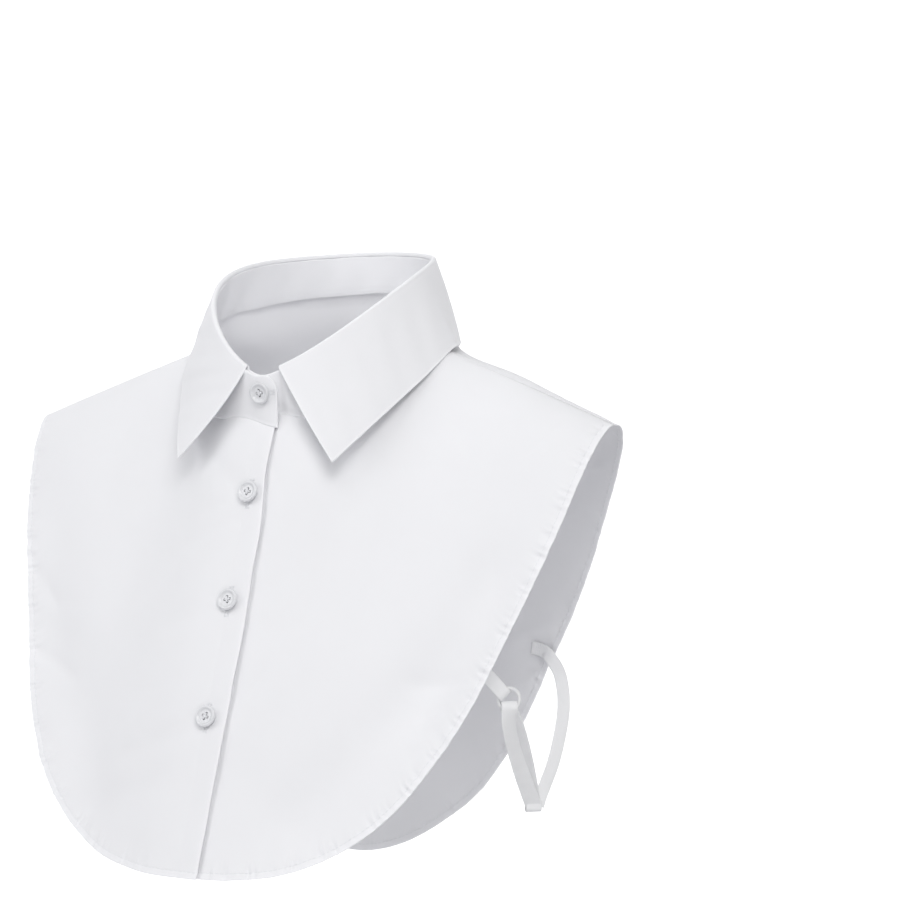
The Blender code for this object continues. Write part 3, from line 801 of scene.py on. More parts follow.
def shirting(name, tint=(0.88, 0.88, 0.90), pitch=THREAD_PITCH, depth=0.035 * MM):
    """White shirting: weave and slubs as bump; slow mottling, a painted edge highlight and a painted weave shade as
    colour.
    """
    material, tree, shader = new_material(name, 0.78, sheen=0.22, specular=0.25)
    cut = add_node(tree, "ShaderNodeUVMap", settings={"uv_map": "cut"})
    split = add_node(tree, "ShaderNodeSeparateXYZ", _0=cut.outputs[0])
    weave = weave_height(tree, split.outputs[0], split.outputs[1], pitch, pitch * 1.15)
    stretch = add_node(tree, "ShaderNodeMapping", _0=cut.outputs[0], Scale=(2600, 90, 1))
    slub = add_node(tree, "ShaderNodeTexNoise", Vector=stretch.outputs[0], Scale=1.0, Detail=2.0)
    stretch_weft = add_node(tree, "ShaderNodeMapping", _0=cut.outputs[0], Scale=(90, 2600, 1))
    slub_weft = add_node(tree, "ShaderNodeTexNoise", Vector=stretch_weft.outputs[0], Scale=1.0, Detail=2.0)
    slubs = math_node(tree, "ADD", slub.outputs[0], slub_weft.outputs[0])
    height = math_node(tree, "ADD", weave, math_node(tree, "MULTIPLY", slubs, 0.55))
    bump = add_node(tree, "ShaderNodeBump", Strength=0.55, Distance=depth, Height=height)
    body = add_node(tree, "ShaderNodeTexCoord")
    crinkle = add_node(tree, "ShaderNodeTexNoise", Vector=body.outputs["Object"], Scale=95.0, Detail=4.0,
                       Roughness=0.55)
    soft = add_node(tree, "ShaderNodeBump", Strength=0.35, Distance=0.16 * MM, Height=crinkle.outputs[0],
                    Normal=bump.outputs[0])
    mottle = add_node(tree, "ShaderNodeTexNoise", Vector=body.outputs["Object"], Scale=14.0, Detail=3.0)
    edge = add_node(tree, "ShaderNodeAttribute", settings={"attribute_name": "edge"})
    # Painted highlight, carried as pressed and edge: edges, folds and the wrong side where light comes through are
    # painted up to 9% lighter.
    pressed = math_node(tree, "MULTIPLY", edge.outputs["Fac"], 0.09)
    shade = math_node(tree, "MULTIPLY_ADD", math_node(tree, "SUBTRACT", mottle.outputs[0], 0.5), 0.05, 1.0)
    layered = add_node(tree, "ShaderNodeAttribute", settings={"attribute_name": "double"})
    pressed = math_node(tree, "MULTIPLY_ADD", layered.outputs["Fac"], 0.01, pressed)
    shade = math_node(tree, "ADD", shade, pressed)
    # Painted shade: the low places of the weave, between the threads, are painted a little darker.
    shade = math_node(tree, "MULTIPLY_ADD", math_node(tree, "SUBTRACT", weave, 0.6), 0.03, shade)
    link_surface(tree, shader, tint, shade, soft)
    return material


CLOTH = shirting("shirting")
print("material", CLOTH.name)

# %% Thread material
def sewing_thread():
    """White polyester thread: two plies twisted together, seen as slanting bands."""
    material, tree, shader = new_material("thread", 0.5, sheen=0.2, specular=0.4)
    body = add_node(tree, "ShaderNodeTexCoord")
    twist = add_node(tree, "ShaderNodeTexWave", settings={"bands_direction": "DIAGONAL"},
                     Vector=body.outputs["Object"], Scale=1100.0, Distortion=1.5)
    bump = add_node(tree, "ShaderNodeBump", Strength=0.4, Distance=0.03 * MM, Height=twist.outputs["Fac"])
    # Painted shade: the hollows between the twisted plies are painted darker.
    shade = add_node(tree, "ShaderNodeMapRange", Value=twist.outputs["Fac"], _3=0.92, _4=1.0)
    link_surface(tree, shader, (0.84, 0.845, 0.87), shade.outputs[0], bump)
    return material


THREAD = sewing_thread()
print("material", THREAD.name)


# %% Dress a piece
def dress(item, material, node_names, slot_name):
    """Give a piece its material, its body, the solids it stands for and its slot."""
    item.data.materials.clear()
    item.data.materials.append(material)
    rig.ride(item, "root")
    if node_names:
        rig.replaces(item, *node_names)
    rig.slot(item, slot_name)
    return item


# %% Make the two fronts
front_left, left_points, left_normals, left_distance = build_front("front_left_cloth", 1, 11)
front_right, right_points, right_normals, right_distance = build_front("front_right_cloth", -1, 23)
dress(front_left, CLOTH, ["front_left"], "shirting")
dress(front_right, CLOTH, ["front_right"], "shirting")
print("fronts:", len(front_left.data.polygons), len(front_right.data.polygons), "faces")

# %% Make the back
BACK_COLUMNS = 240
# how far down from the neck the back's wrong side is painted lighter, as light coming through the cloth
THIN_REACH = 75 * MM


def build_back(name):
    """The back, one piece from one shoulder seam round to the other."""
    shares = np.linspace(0, 1, BACK_COLUMNS)
    half = free_edge(BACK_EDGE, 0.0, shares)
    edge = np.vstack([half[::-1], half[1:] * [-1, 1]])
    angles = np.linspace(math.pi / 2, 3 * math.pi / 2, len(edge))
    inner = neckline(angles, NECK_TUCK, "back")
    outer = np.stack([edge[:, 0], root_at_height(edge[:, 0], edge[:, 1], "back")], axis=-1)
    inner[[0, -1], 1] = outer[[0, -1], 1] = 0.01
    points, distance, walk, place = panel_grid(inner, outer, "back")
    normals = surface_normals(points)
    x, z = points[..., 0], points[..., 2]
    relief = (hem_relief(distance, walk, 37, 0.6, 0.5) - sinking(x, z, "back")) * seam_calm(place, "back")
    relief -= seam_groove(place, "back")
    points = points + normals * relief[..., None]
    outward, inward = hem_thickness(distance, "back")
    # Painted highlight along the hem's edge, and painted light on the wrong side near the neck.
    item = cloth_shell(name, points, normals, outward, inward, cut_position(place, "back"),
                       np.exp(-distance / (1.0 * MM)), hem_field(distance) * 0.3,
                       bell(lengths(points, 0), THIN_REACH))
    return item, points, normals, distance


back, back_points, back_normals, back_distance = build_back("back_cloth")
dress(back, CLOTH, ["back"], "shirting")
print("back:", len(back.data.polygons), "faces")

# %% [markdown]
# ## Stand and leaf
#
# The stand is a band round the neck. Its foot is sewn to the panels and its right end, with a rounded
# corner, buttons over the left one. The leaf springs from the top of the stand, rolls over at the fold
# line and falls outside to its pointed free edge.

# %% Sizes of the collar
FOLD_HALF = 57.7 * MM
FOLD_DEPTH_HALF = 60.5 * MM
FOLD_CENTRE_Y = 10.5 * MM
FOLD_FRONT_POWER = 1.35
FOLD_Z_FRONT = 25.5 * MM
FOLD_Z_BACK = 89.6 * MM
FOLD_FRONT_DIP = 2.7
FOLD_BACK_DIP = 2.5 * MM
FOLD_RADIUS = 1.0 * MM
STAND_HALF_WALL = 0.72 * MM
STAND_WALL = 1.5 * MM
STAND_DROP = 1.75 * MM
SEAM_GAP = 0.3 * MM
STAND_END_ROUND = 12 * MM
STAND_END_DROP = 14 * MM
STAND_END_DIP = 6.2 * MM
STAND_END_IN = 3.7 * MM
STAND_WAVE = 0.22 * MM
FOOT_SINK = 0.15 * MM
UNDER_GROOVE = 0.95 * MM
UNDER_GROOVE_AT = 21.6 * MM
LEAF_START_X = 9.2 * MM
LEAF_HALF_WALL = 0.52 * MM
# (columns x, y, z in millimetres, from the left point round to the middle of the back)
LEAF_EDGE = ((46.2, -58.6, -19.4), (56, -43.5, -5), (65.3, -26.8, 9.7), (74.2, -10.3, 24),
             (79.4, 8, 37.2), (77.5, 18.7, 38.6), (67.2, 38.9, 41.2), (49.4, 67.6, 43.5),
             (26, 85, 44.5), (0, 91.5, 45))
LEAF_BOW = 0.1 * MM
LEAF_BOW_NAPE = 3.2 * MM
LEAF_CURVE_LEFT = 0.6 * MM
LEAF_CURVE_RIGHT = 3.2 * MM


def fold_point(angle, drop=0.0):
    """Fold line at an angle from the front middle, lowered by `drop`."""
    z = FOLD_Z_BACK - (FOLD_Z_BACK - FOLD_Z_FRONT) * ((1 + np.cos(angle)) / 2) ** FOLD_FRONT_DIP
    z = z - FOLD_BACK_DIP * np.sin(angle) ** 2 * (1 - np.cos(angle))
    power = 1 + (FOLD_FRONT_POWER - 1) * (1 + np.cos(angle)) / 2
    x = FOLD_HALF * np.sign(np.sin(angle)) * np.abs(np.sin(angle)) ** power
    return np.stack([x, FOLD_CENTRE_Y - FOLD_DEPTH_HALF * np.cos(angle), z - drop], axis=-1)


def fold_angle(x):
    """Angle at which the front of the fold line is x from the middle."""
    return math.asin((x / FOLD_HALF) ** (1 / FOLD_FRONT_POWER))


def plan_outward(angle):
    """Level direction square to the neck ellipse, away from the neck."""
    across = np.sin(angle) / FOLD_HALF
    along = -np.cos(angle) / FOLD_DEPTH_HALF
    return unit(np.stack([across, along, np.zeros_like(angle)], axis=-1))


# %% Make the stand
STAND_COLUMNS = 300
STAND_ROWS = 30


def end_dip(walked):
    """How far the stand's upper end hangs below the neckline, by the length walked from that end."""
    return STAND_END_DIP * ease(1 - walked / (36 * MM))


def build_stand(name):
    """Stand: straight lines from the foot on the worn form up to the fold line, right end in front."""
    lap = math.asin(FRONT_LAP / NECK_HALF)
    fine = np.array([0, 0.0003, 0.0009, 0.0018, 0.003])
    shares = np.concatenate([fine, np.linspace(fine[-1], 1 - fine[-1], STAND_COLUMNS)[1:-1], 1 - fine[::-1]])
    angles = lap - (2 * math.pi + 2 * lap) * shares
    turned = np.mod(angles, 2 * math.pi)
    behind = np.cos(turned) < 0
    walked = (angles[0] - angles) * NECK_HALF
    foot_front = neckline(turned, 0.0, "front")
    foot_front[:, 1] = np.sqrt(foot_front[:, 1] ** 2 + end_dip(walked) / MM)
    foot_back = neckline(turned, 0.0, "back")
    foot = np.where(behind[:, None], worn_point(foot_back[:, 0], foot_back[:, 1], "back"),
                    worn_point(foot_front[:, 0], foot_front[:, 1], "front"))
    end = fold_angle(FRONT_LAP * 0.95)
    top = smooth_curve(fold_point(np.linspace(end, -2 * math.pi - end, 900), STAND_DROP), shares)
    foot = smooth_curve(foot, shares)
    rise = top - foot
    length = np.linalg.norm(rise, axis=1, keepdims=True)
    foot = foot - rise / length * (STAND_WALL / 2)
    corner = np.clip(1 - walked / STAND_END_ROUND, 0, 1)
    top = top - rise / length * (STAND_END_DROP * (1 - np.sqrt(1 - 0.98 * corner ** 2)))[:, None]
    tall = np.linalg.norm(top - foot, axis=1)
    low = np.array([0, 0.08, 0.25, 0.5, 0.9, 1.5])[:, None] * MM / tall
    high = 1 - np.array([0.8, 0.45, 0.2, 0.06, 0])[:, None] * MM / tall
    middle = np.linspace(low[-1], 1 - 1.2 * MM / tall, STAND_ROWS)[1:]
    share = np.concatenate([low, middle, high])[..., None]
    points = foot[None] * (1 - share) + top[None] * share
    lift = (STAND_WALL + SEAM_GAP) * ease((0.75 - walked / NECK_HALF) / 0.5)
    points += plan_outward(angles)[None] * lift[None, :, None]
    points[..., 0] -= STAND_END_IN * bell(walked, 15 * MM)[None]
    normals = surface_normals(points)
    up = share[..., 0] * tall
    around = lengths(points, 1)
    ends = np.minimum(around, around[:, -1:] - around)
    wave = STAND_WAVE * np.sin(around / (23 * MM) * 2 * math.pi + up / (30 * MM))
    relief = wave * ease(ends / (20 * MM)) - FOOT_SINK * bell(up - 1.9 * MM, 0.5 * MM)
    under_end = around[:, -1:] - around - UNDER_GROOVE_AT
    relief = relief - UNDER_GROOVE * bell(under_end, 2.2 * MM)
    points = points + normals * relief[..., None]
    half = STAND_HALF_WALL * round_edge(up, 0.7 * MM) * round_edge(ends, 0.7 * MM)
    half = half * round_edge(tall - up, 0.6 * MM)
    # Painted highlight along the stand's edges; its whole wrong side is painted lighter, as light coming through the
    # cloth.
    edge = np.exp(-np.minimum(np.minimum(up, ends), tall - up) / (1.0 * MM))
    inner = half * (0.45 + 0.55 * ease(up / (5 * MM)))
    item = cloth_shell(name, points, normals, half, inner, np.stack([around, up], axis=-1), edge, light=1.0)
    return item, points, normals


stand, stand_points, stand_normals = build_stand("collar_stand_cloth")
dress(stand, CLOTH, ["collar_stand"], "shirting")
print("stand:", len(stand.data.polygons), "faces")

# %% Make the leaf
LEAF_COLUMNS = 240
LEAF_ROLL_ROWS = 14
LEAF_FALL_ROWS = 40
LEAF_ROOT = np.array([0.7, 0.5, 0.25]) * MM
LEAF_NEAR = np.array([8, 6.5, 5.2, 4, 3, 2.2, 1.6, 1.1, 0.7, 0.4, 0.15, 0]) * MM
LEAF_STITCH = 1.5 * MM
LEAF_SINK = 0.13 * MM


def build_leaf(name):
    """Leaf: half a turn round the fold line, then straight falls with a small bow to the free edge."""
    fine = np.array([0, 0.0002, 0.0007, 0.0015, 0.003, 0.006])
    shares = np.concatenate([fine, np.linspace(fine[-1], 1 - fine[-1], LEAF_COLUMNS)[1:-1], 1 - fine[::-1]])
    start = fold_angle(LEAF_START_X)
    angles = start + (2 * math.pi - 2 * start) * shares
    half = np.array(LEAF_EDGE)
    whole = np.vstack([half, half[-2::-1] * [-1, 1, 1]]) * MM
    free = smooth_curve(whole, shares)
    fold = fold_point(angles)
    out = plan_outward(angles)
    turn = np.linspace(0, math.pi, LEAF_ROLL_ROWS)[:, None, None]
    centre = fold + out * FOLD_RADIUS - UP * FOLD_RADIUS
    roll = centre[None] - out[None] * FOLD_RADIUS * np.cos(turn) + UP * FOLD_RADIUS * np.sin(turn)
    first = fold[None] - UP * (FOLD_RADIUS + LEAF_ROOT[:, None, None])
    length = np.linalg.norm(free - roll[-1], axis=1)
    near = 1 - LEAF_NEAR[:, None] / length
    fall = np.vstack([np.linspace(0, near[0], LEAF_FALL_ROWS)[1:-1], near])[..., None]
    bow = LEAF_BOW + (LEAF_BOW_NAPE - LEAF_BOW) * ((1 - np.cos(angles)) / 2) ** 7
    drape = roll[-1][None] * (1 - fall) + free[None] * fall
    drape = drape + (out * bow[:, None])[None] * 4 * fall * (1 - fall)
    points = np.concatenate([first, roll, drape])
    before = len(first) + len(roll)
    share = np.concatenate([np.zeros(before), fall[:, 0, 0]])[:, None]
    along = unit(np.gradient(points, axis=1))
    span = lengths(points, 1)
    for bulge, reach, way in ((LEAF_CURVE_LEFT, span, -1), (LEAF_CURVE_RIGHT, span[:, -1:] - span, 1)):
        bowed = bulge * 4 * share * (1 - share) * np.exp(-reach / (18 * MM))
        points = points + along * (bowed * way)[..., None]
    normals = surface_normals(points)
    to_free = np.concatenate([np.full((before, len(angles)), 30 * MM), (1 - fall[..., 0]) * length])
    around = lengths(points, 1)
    ends = np.minimum(around, around[:, -1:] - around)
    down = lengths(points, 0)
    from_fold = ease(down / (25 * MM))
    wave = 0.30 * MM * np.sin(around / (41 * MM) * 2 * math.pi + 0.7) * from_fold * ease(to_free / (12 * MM))
    wave += 0.16 * MM * np.sin(around / (17 * MM) * 2 * math.pi + down / (20 * MM)) * from_fold
    sunk = LEAF_SINK * (bell(to_free - LEAF_STITCH, 0.45 * MM) + bell(ends - LEAF_STITCH, 0.45 * MM))
    points = points + normals * (wave * ease(ends / (10 * MM)) - sunk)[..., None]
    half_wall = LEAF_HALF_WALL * round_edge(to_free, 0.5 * MM) * round_edge(ends, 0.5 * MM)
    from_top = np.linalg.norm(points - (centre + UP * FOLD_RADIUS)[None], axis=-1)
    # Painted highlight along the leaf's free edges and over its fold.
    edge = np.exp(-np.minimum(np.minimum(to_free, ends), from_top * 0.8) / (1.0 * MM))
    return cloth_shell(name, points, normals, half_wall, half_wall, np.stack([around, down], axis=-1), edge)


leaf = build_leaf("collar_leaf_cloth")
dress(leaf, CLOTH, ["collar_leaf"], "shirting")
print("leaf:", len(leaf.data.polygons), "faces")

# %% [markdown]
# ## Stitching
#
# A lockstitch shows as short dashes of thread that dive into the cloth at both ends. One dash is a
# slim closed spindle of a few faces, and a whole line of them is made at once by moving that spindle
# to each place along a path.

# %% Lines of stitches
STITCH_PITCH = 2.6 * MM
STITCH_LENGTH = 2.1 * MM
STITCH_RADIUS = 0.15 * MM


def spindle():
    """Closed spindle of unit length and radius: rings of six points that shrink at both ends."""
    rings = np.array([[-0.42, 0.6], [-0.2, 1.0], [0.2, 1.0], [0.42, 0.6]])
    turn = np.arange(6) * math.pi / 3
    body = np.stack([np.repeat(rings[:, 0], 6), np.tile(np.cos(turn), 4) * np.repeat(rings[:, 1], 6),
                     np.tile(np.sin(turn), 4) * np.repeat(rings[:, 1], 6)], axis=-1)
    points = np.vstack([body, [-0.5, 0, -0.4], [0.5, 0, -0.4]])
    ring = np.arange(6)
    after = np.roll(ring, -1)
    sides = [np.stack([k * 6 + ring, k * 6 + after, (k + 1) * 6 + after, (k + 1) * 6 + ring], axis=-1)
             for k in range(3)]
    caps = [np.stack([np.full(6, 24), after, ring, ring], axis=-1),
            np.stack([np.full(6, 25), 18 + ring, 18 + after, 18 + after], axis=-1)]
    return points, np.concatenate(sides), np.concatenate(caps)[:, :3]


def stitch_line(name, path, normals, lift, pitch=STITCH_PITCH, length=STITCH_LENGTH, radius=STITCH_RADIUS,
                crosswise=False):
    """Dashes along or across a path: place + tangent * a * length + (side * b + normal * c) * radius."""
    walk = lengths(path, 0)
    count = max(int(walk[-1] / pitch), 1)
    at = (np.arange(count) + 0.5) * walk[-1] / count
    place = read_along(at, walk, path)
    tangent = unit(read_along(at + pitch / 4, walk, path) - read_along(at - pitch / 4, walk, path))
    normal = unit(square_to(read_along(at, walk, normals), tangent))
    aside = np.cross(normal, tangent)
    if crosswise:
        tangent, aside = aside, -tangent
    shape, sides, caps = spindle()
    points = (place + normal * lift)[:, None] + shape[None, :, :1] * length * tangent[:, None]
    points = points + shape[None, :, 1:2] * radius * aside[:, None]
    points = points + shape[None, :, 2:3] * radius * normal[:, None]
    first = np.arange(count)[:, None, None] * len(shape)
    quads = (sides[None] + first).reshape(-1, 4).tolist()
    tris = (caps[None] + first).reshape(-1, 3).tolist()
    return dress(plain_object(name, points.reshape(-1, 3), quads + tris), THREAD, [], "shirting")


def line_at(points, normals, distance, wanted):
    """Path along a panel at a wanted distance from its free edge: the grid row that lies nearest."""
    row = int(np.argmin(np.abs(distance[:, 0] - wanted)))
    return points[row], normals[row]


# %% Sew the hems
stitches = {}
for label, points, normals, distance in (("front_left", left_points, left_normals, left_distance),
                                         ("front_right", right_points, right_normals, right_distance),
                                         ("back", back_points, back_normals, back_distance)):
    path, out = line_at(points, normals, distance, HEM_STITCH)
    path, out = path[3:-2], out[3:-2]
    wrong_side = CLOTH_IN + HEM_STEP["back" if label == "back" else "front"]
    stitches[label] = [stitch_line(f"{label}_hem_stitches", path, out, CLOTH_OUT),
                       stitch_line(f"{label}_hem_bobbin", path, -out, wrong_side)]
print("hem stitches:", {k: len(v) for k, v in stitches.items()})

# %% [markdown]
# ## Buttons
#
# Four plain white shirt buttons, 18 line: a turned disc with a raised rim, a sunk middle and four
# holes set as a diamond. Thread crosses between the holes. Each button sits over a buttonhole in the
# upper layer, upright down the front and level on the stand.

# %% Button material
def button_resin():
    """Milky polyester: slightly clear, softly clouded, with a polished face."""
    material, tree, shader = new_material("button resin", 0.28, specular=0.5, coat=0.25)
    body = add_node(tree, "ShaderNodeTexCoord")
    cloud = add_node(tree, "ShaderNodeTexNoise", Vector=body.outputs["Object"], Scale=260.0, Detail=3.0,
                     Distortion=1.5)
    shade = add_node(tree, "ShaderNodeMapRange", Value=cloud.outputs[0], _3=0.93, _4=1.03)
    colour = add_node(tree, "ShaderNodeVectorMath", settings={"operation": "SCALE"}, _0=(0.775, 0.78, 0.80),
                      Scale=shade.outputs[0])
    tree.links.new(colour.outputs[0], shader.inputs["Base Color"])
    rub = add_node(tree, "ShaderNodeMapRange", Value=cloud.outputs[0], _3=0.22, _4=0.38)
    tree.links.new(rub.outputs[0], shader.inputs["Roughness"])
    shader.inputs["Subsurface Weight"].default_value = 0.15
    shader.inputs["Subsurface Radius"].default_value = (1, 1, 1)
    shader.inputs["Subsurface Scale"].default_value = 0.6 * MM
    return material


RESIN = button_resin()
print("material", RESIN.name)

# %% Sizes of a button
BUTTON_RADIUS = 5.6 * MM
BUTTON_HEIGHT = 2.2 * MM
HOLE_RADIUS = 0.72 * MM
HOLE_OFFSET = 1.45 * MM
BUTTON_FLOOR = 0.62
BUTTON_NECK_HEIGHT = 15.2 * MM
BUTTON_HEIGHTS = {"button_1": -36 * MM, "button_2": -89 * MM, "button_3": -145 * MM}
# (columns radius, height as shares of the button's radius and height)
BUTTON_PROFILE = ((0, 0), (0.70, 0), (0.80, 0.04), (0.90, 0.15), (0.965, 0.33), (1.0, 0.55), (0.985, 0.76),
                  (0.945, 0.92), (0.89, 1.0), (0.82, 1.0), (0.76, 0.95), (0.70, 0.83), (0.655, 0.71),
                  (0.60, 0.645), (0.52, BUTTON_FLOOR), (0, BUTTON_FLOOR))


def merge(parts):
    """One set of points and faces from several, with the numbering carried on."""
    firsts = np.cumsum([0] + [len(points) for points, _ in parts])
    faces = [tuple(corner + first for corner in face)
             for first, (_, part) in zip(firsts, parts) for face in part]
    return np.vstack([points for points, _ in parts]), faces


def tube(path, radius, reference, sides=8):
    """Closed round tube along a path: circles square to it, flat ends."""
    tangent = unit(np.gradient(path, axis=0))
    aside = unit(np.cross(tangent, reference))
    above = np.cross(aside, tangent)
    turn = np.arange(sides) * 2 * math.pi / sides
    circle = aside[:, None] * np.cos(turn)[None, :, None] + above[:, None] * np.sin(turn)[None, :, None]
    points = (path[:, None] + circle * radius).reshape(-1, 3)
    ring = np.arange(sides)
    after = np.roll(ring, -1)
    first = np.arange(len(path) - 1)[:, None] * sides
    quads = np.stack([first + ring, first + sides + ring, first + sides + after, first + after], axis=-1)
    ends = [tuple(ring.tolist()), tuple((len(path) * sides - 1 - ring).tolist())]
    return points, [tuple(face) for face in quads.reshape(-1, 4).tolist()] + ends


def turned_disc(name):
    """Profile turned round the upright axis, with the four holes cut through."""
    mesh = bpy.data.meshes.new(name)
    profile = [(x * BUTTON_RADIUS, 0, z * BUTTON_HEIGHT) for x, z in BUTTON_PROFILE]
    mesh.from_pydata(profile, [(k, k + 1) for k in range(len(profile) - 1)], [])
    disc = bpy.data.objects.new(name, mesh)
    bpy.context.scene.collection.objects.link(disc)
    screw = disc.modifiers.new("turn", "SCREW")
    screw.steps = screw.render_steps = 72
    screw.use_merge_vertices = True
    screw.merge_threshold = 0.000002
    drills = []
    for index in range(4):
        angle = index * math.pi / 2
        centre = np.array([math.cos(angle), math.sin(angle), 0]) * HOLE_OFFSET
        heights = np.array([-1, 1])[:, None] * [0, 0, 2 * BUTTON_HEIGHT]
        drills.append(tube(centre + heights, HOLE_RADIUS, (1, 0, 0), 24))
    drill = plain_object("drill", *merge(drills))
    cut = disc.modifiers.new("holes", "BOOLEAN")
    cut.operation = "DIFFERENCE"
    cut.solver = "EXACT"
    cut.object = drill
    graph = bpy.context.evaluated_depsgraph_get()
    mesh = bpy.data.meshes.new_from_object(disc.evaluated_get(graph))
    disc.modifiers.clear()
    disc.data = mesh
    bpy.data.objects.remove(drill)
    mesh.shade_smooth()
    mesh.set_sharp_from_angle(angle=math.radians(32))
    return disc


def sewn_thread(name):
    """Three strands each way across the button, from hole to opposite hole, bowed over the middle."""
    strands = []
    share = np.linspace(-1, 1, 15)
    floor = BUTTON_FLOOR * BUTTON_HEIGHT
    for way, level in ((0, 0.10 * MM), (1, 0.34 * MM)):
        for aside in (-0.30 * MM, 0.02 * MM, 0.31 * MM):
            run = share * (HOLE_OFFSET + 0.12 * MM)
            dive = 9.8 * MM * np.clip(np.abs(share) - 0.86, 0, 1)
            height = floor + 0.16 * MM + level * (1 - share ** 4) - dive
            path = np.stack([run, aside * (1 - 0.35 * share ** 2), height], axis=-1)
            path = path if way == 0 else path[:, [1, 0, 2]]
            strands.append(tube(path, 0.17 * MM, (0.05, 0.05, 1), 8))
    return plain_object(name, *merge(strands))


def button_place(name):
    """Centre and facing of each button, worked out from the worn form or from the stand."""
    if name == "button_neck":
        low_place = neckline(np.array([0.0]), 0.0, "front")[0]
        low_place[1] = math.sqrt(low_place[1] ** 2 + end_dip(FRONT_LAP) / MM)
        low = worn_point(low_place[:1], low_place[1:], "front")[0]
        high = fold_point(np.array([0.0]))[0]
        share = (BUTTON_NECK_HEIGHT - low[2]) / (high[2] - low[2])
        tilt = math.atan2(high[1] - low[1], high[2] - low[2])
        base = low * (1 - share) + high * share
        reach = STAND_WALL * 1.5 + SEAM_GAP * 2
    else:
        z = np.array([BUTTON_HEIGHTS[name]])
        base = worn_point(np.array([0.0]), root_at_height(np.array([0.0]), z, "front"), "front")[0]
        tilt = math.atan(FORM["front"]["lean"])
        reach = LAYER_STEP * 1.07 + 0.9 * MM
    outward = np.array([0, -math.cos(tilt), math.sin(tilt)])
    return base + outward * reach, outward


# %% Set the buttons
BUTTON_TURN = {"button_neck": 8, "button_1": -7, "button_2": 14, "button_3": -18}
for name, degrees in BUTTON_TURN.items():
    place, outward = button_place(name)
    turn = Vector(outward).to_track_quat("Z", "Y").to_matrix().to_4x4()
    sitting = Matrix.Translation(place) @ turn @ Matrix.Rotation(math.radians(degrees), 4, "Z")
    disc = turned_disc(f"{name}_disc")
    disc.data.transform(sitting)
    dress(disc, RESIN, [name], "button")
    thread = sewn_thread(f"{name}_thread")
    thread.data.transform(sitting)
    dress(thread, THREAD, [], "button")
print(len(BUTTON_TURN), "buttons of", len(disc.data.polygons), "faces")

# %% Work the buttonholes
BUTTONHOLE_LENGTH = 14.0 * MM
BUTTONHOLE_HALF = 0.78 * MM
BUTTONHOLE_PITCH = 0.42 * MM


def on_cloth(points, normals, x, z):
    """Points of a cloth at wanted x and z: the nearest grid point, moved within its own tangent plane."""
    grid, out = points.reshape(-1, 3), normals.reshape(-1, 3)
    apart = (grid[None, :, 0] - x[:, None]) ** 2 + (grid[None, :, 2] - z[:, None]) ** 2
    near = np.argmin(apart, axis=1)
    grid, out = grid[near], out[near]
    y = grid[:, 1] - (out[:, 0] * (x - grid[:, 0]) + out[:, 2] * (z - grid[:, 2])) / out[:, 1]
    return np.stack([x, y, z], axis=-1), out


def buttonhole(name, points, normals, middle_z, upright, lift):
    """Two rows of close stitches beside a slit, and a bar of stitches across each end."""
    made = []
    run = np.linspace(-0.5, 0.5, 40) * BUTTONHOLE_LENGTH
    across = np.linspace(-1, 1, 12) * BUTTONHOLE_HALF * 1.9
    for side in (-1, 1):
        beside = np.full(40, side * BUTTONHOLE_HALF)
        end = np.full(12, side * BUTTONHOLE_LENGTH / 2)
        for kind, aside, along, length, radius in (("row", beside, run, 1.35 * MM, 0.16 * MM),
                                                   ("bar", across, end, 1.5 * MM, 0.17 * MM)):
            x, z = (aside, along) if upright else (along, aside)
            path, out = on_cloth(points, normals, x, z + middle_z)
            made.append(stitch_line(f"{name}_{kind}_{side + 2}", path, out, lift, BUTTONHOLE_PITCH,
                                    length, radius, crosswise=True))
    return made


buttonholes = []
for name, z in BUTTON_HEIGHTS.items():
    buttonholes += buttonhole(f"{name}_hole", right_points, right_normals, z, True, CLOTH_OUT)
neck_buttonhole = buttonhole("button_neck_hole", stand_points[:, :60], stand_normals[:, :60],
                             BUTTON_NECK_HEIGHT, False, STAND_HALF_WALL)
print(len(buttonholes) + len(neck_buttonhole), "rows and bars of buttonhole stitches")

# %% [markdown]
# ## Side straps
#
# A short tab of flat woven elastic is sewn inside each front edge and holds a plain round ring. A
# second length of the same tape is doubled through the ring, and its ends are caught in the turned-up
# end of a third, which is sewn inside the back.

# %% Tape and ring materials
def woven_tape():
    """Flat elastic: fine lengthwise ribs crossed by closer weft bars, a soft synthetic sheen."""
    material, tree, shader = new_material("woven tape", 0.55, sheen=0.3, specular=0.35)
    cut = add_node(tree, "ShaderNodeUVMap", settings={"uv_map": "cut"})
    split = add_node(tree, "ShaderNodeSeparateXYZ", _0=cut.outputs[0])
    rib = math_node(tree, "SINE", math_node(tree, "MULTIPLY", split.outputs[1], math.pi / (0.5 * MM)))
    bar = math_node(tree, "SINE", math_node(tree, "MULTIPLY", split.outputs[0], math.pi / (0.34 * MM)))
    ribs = math_node(tree, "ABSOLUTE", rib)
    bars = math_node(tree, "ABSOLUTE", bar)
    height = math_node(tree, "MULTIPLY_ADD", bars, 0.5, ribs)
    bump = add_node(tree, "ShaderNodeBump", Strength=0.6, Distance=0.08 * MM, Height=height)
    # Painted shade: between the ribs the tape is painted a little darker.
    shade = add_node(tree, "ShaderNodeMapRange", Value=ribs, _3=0.93, _4=1.0)
    link_surface(tree, shader, (0.96, 0.962, 0.97), shade.outputs[0], bump)
    return material


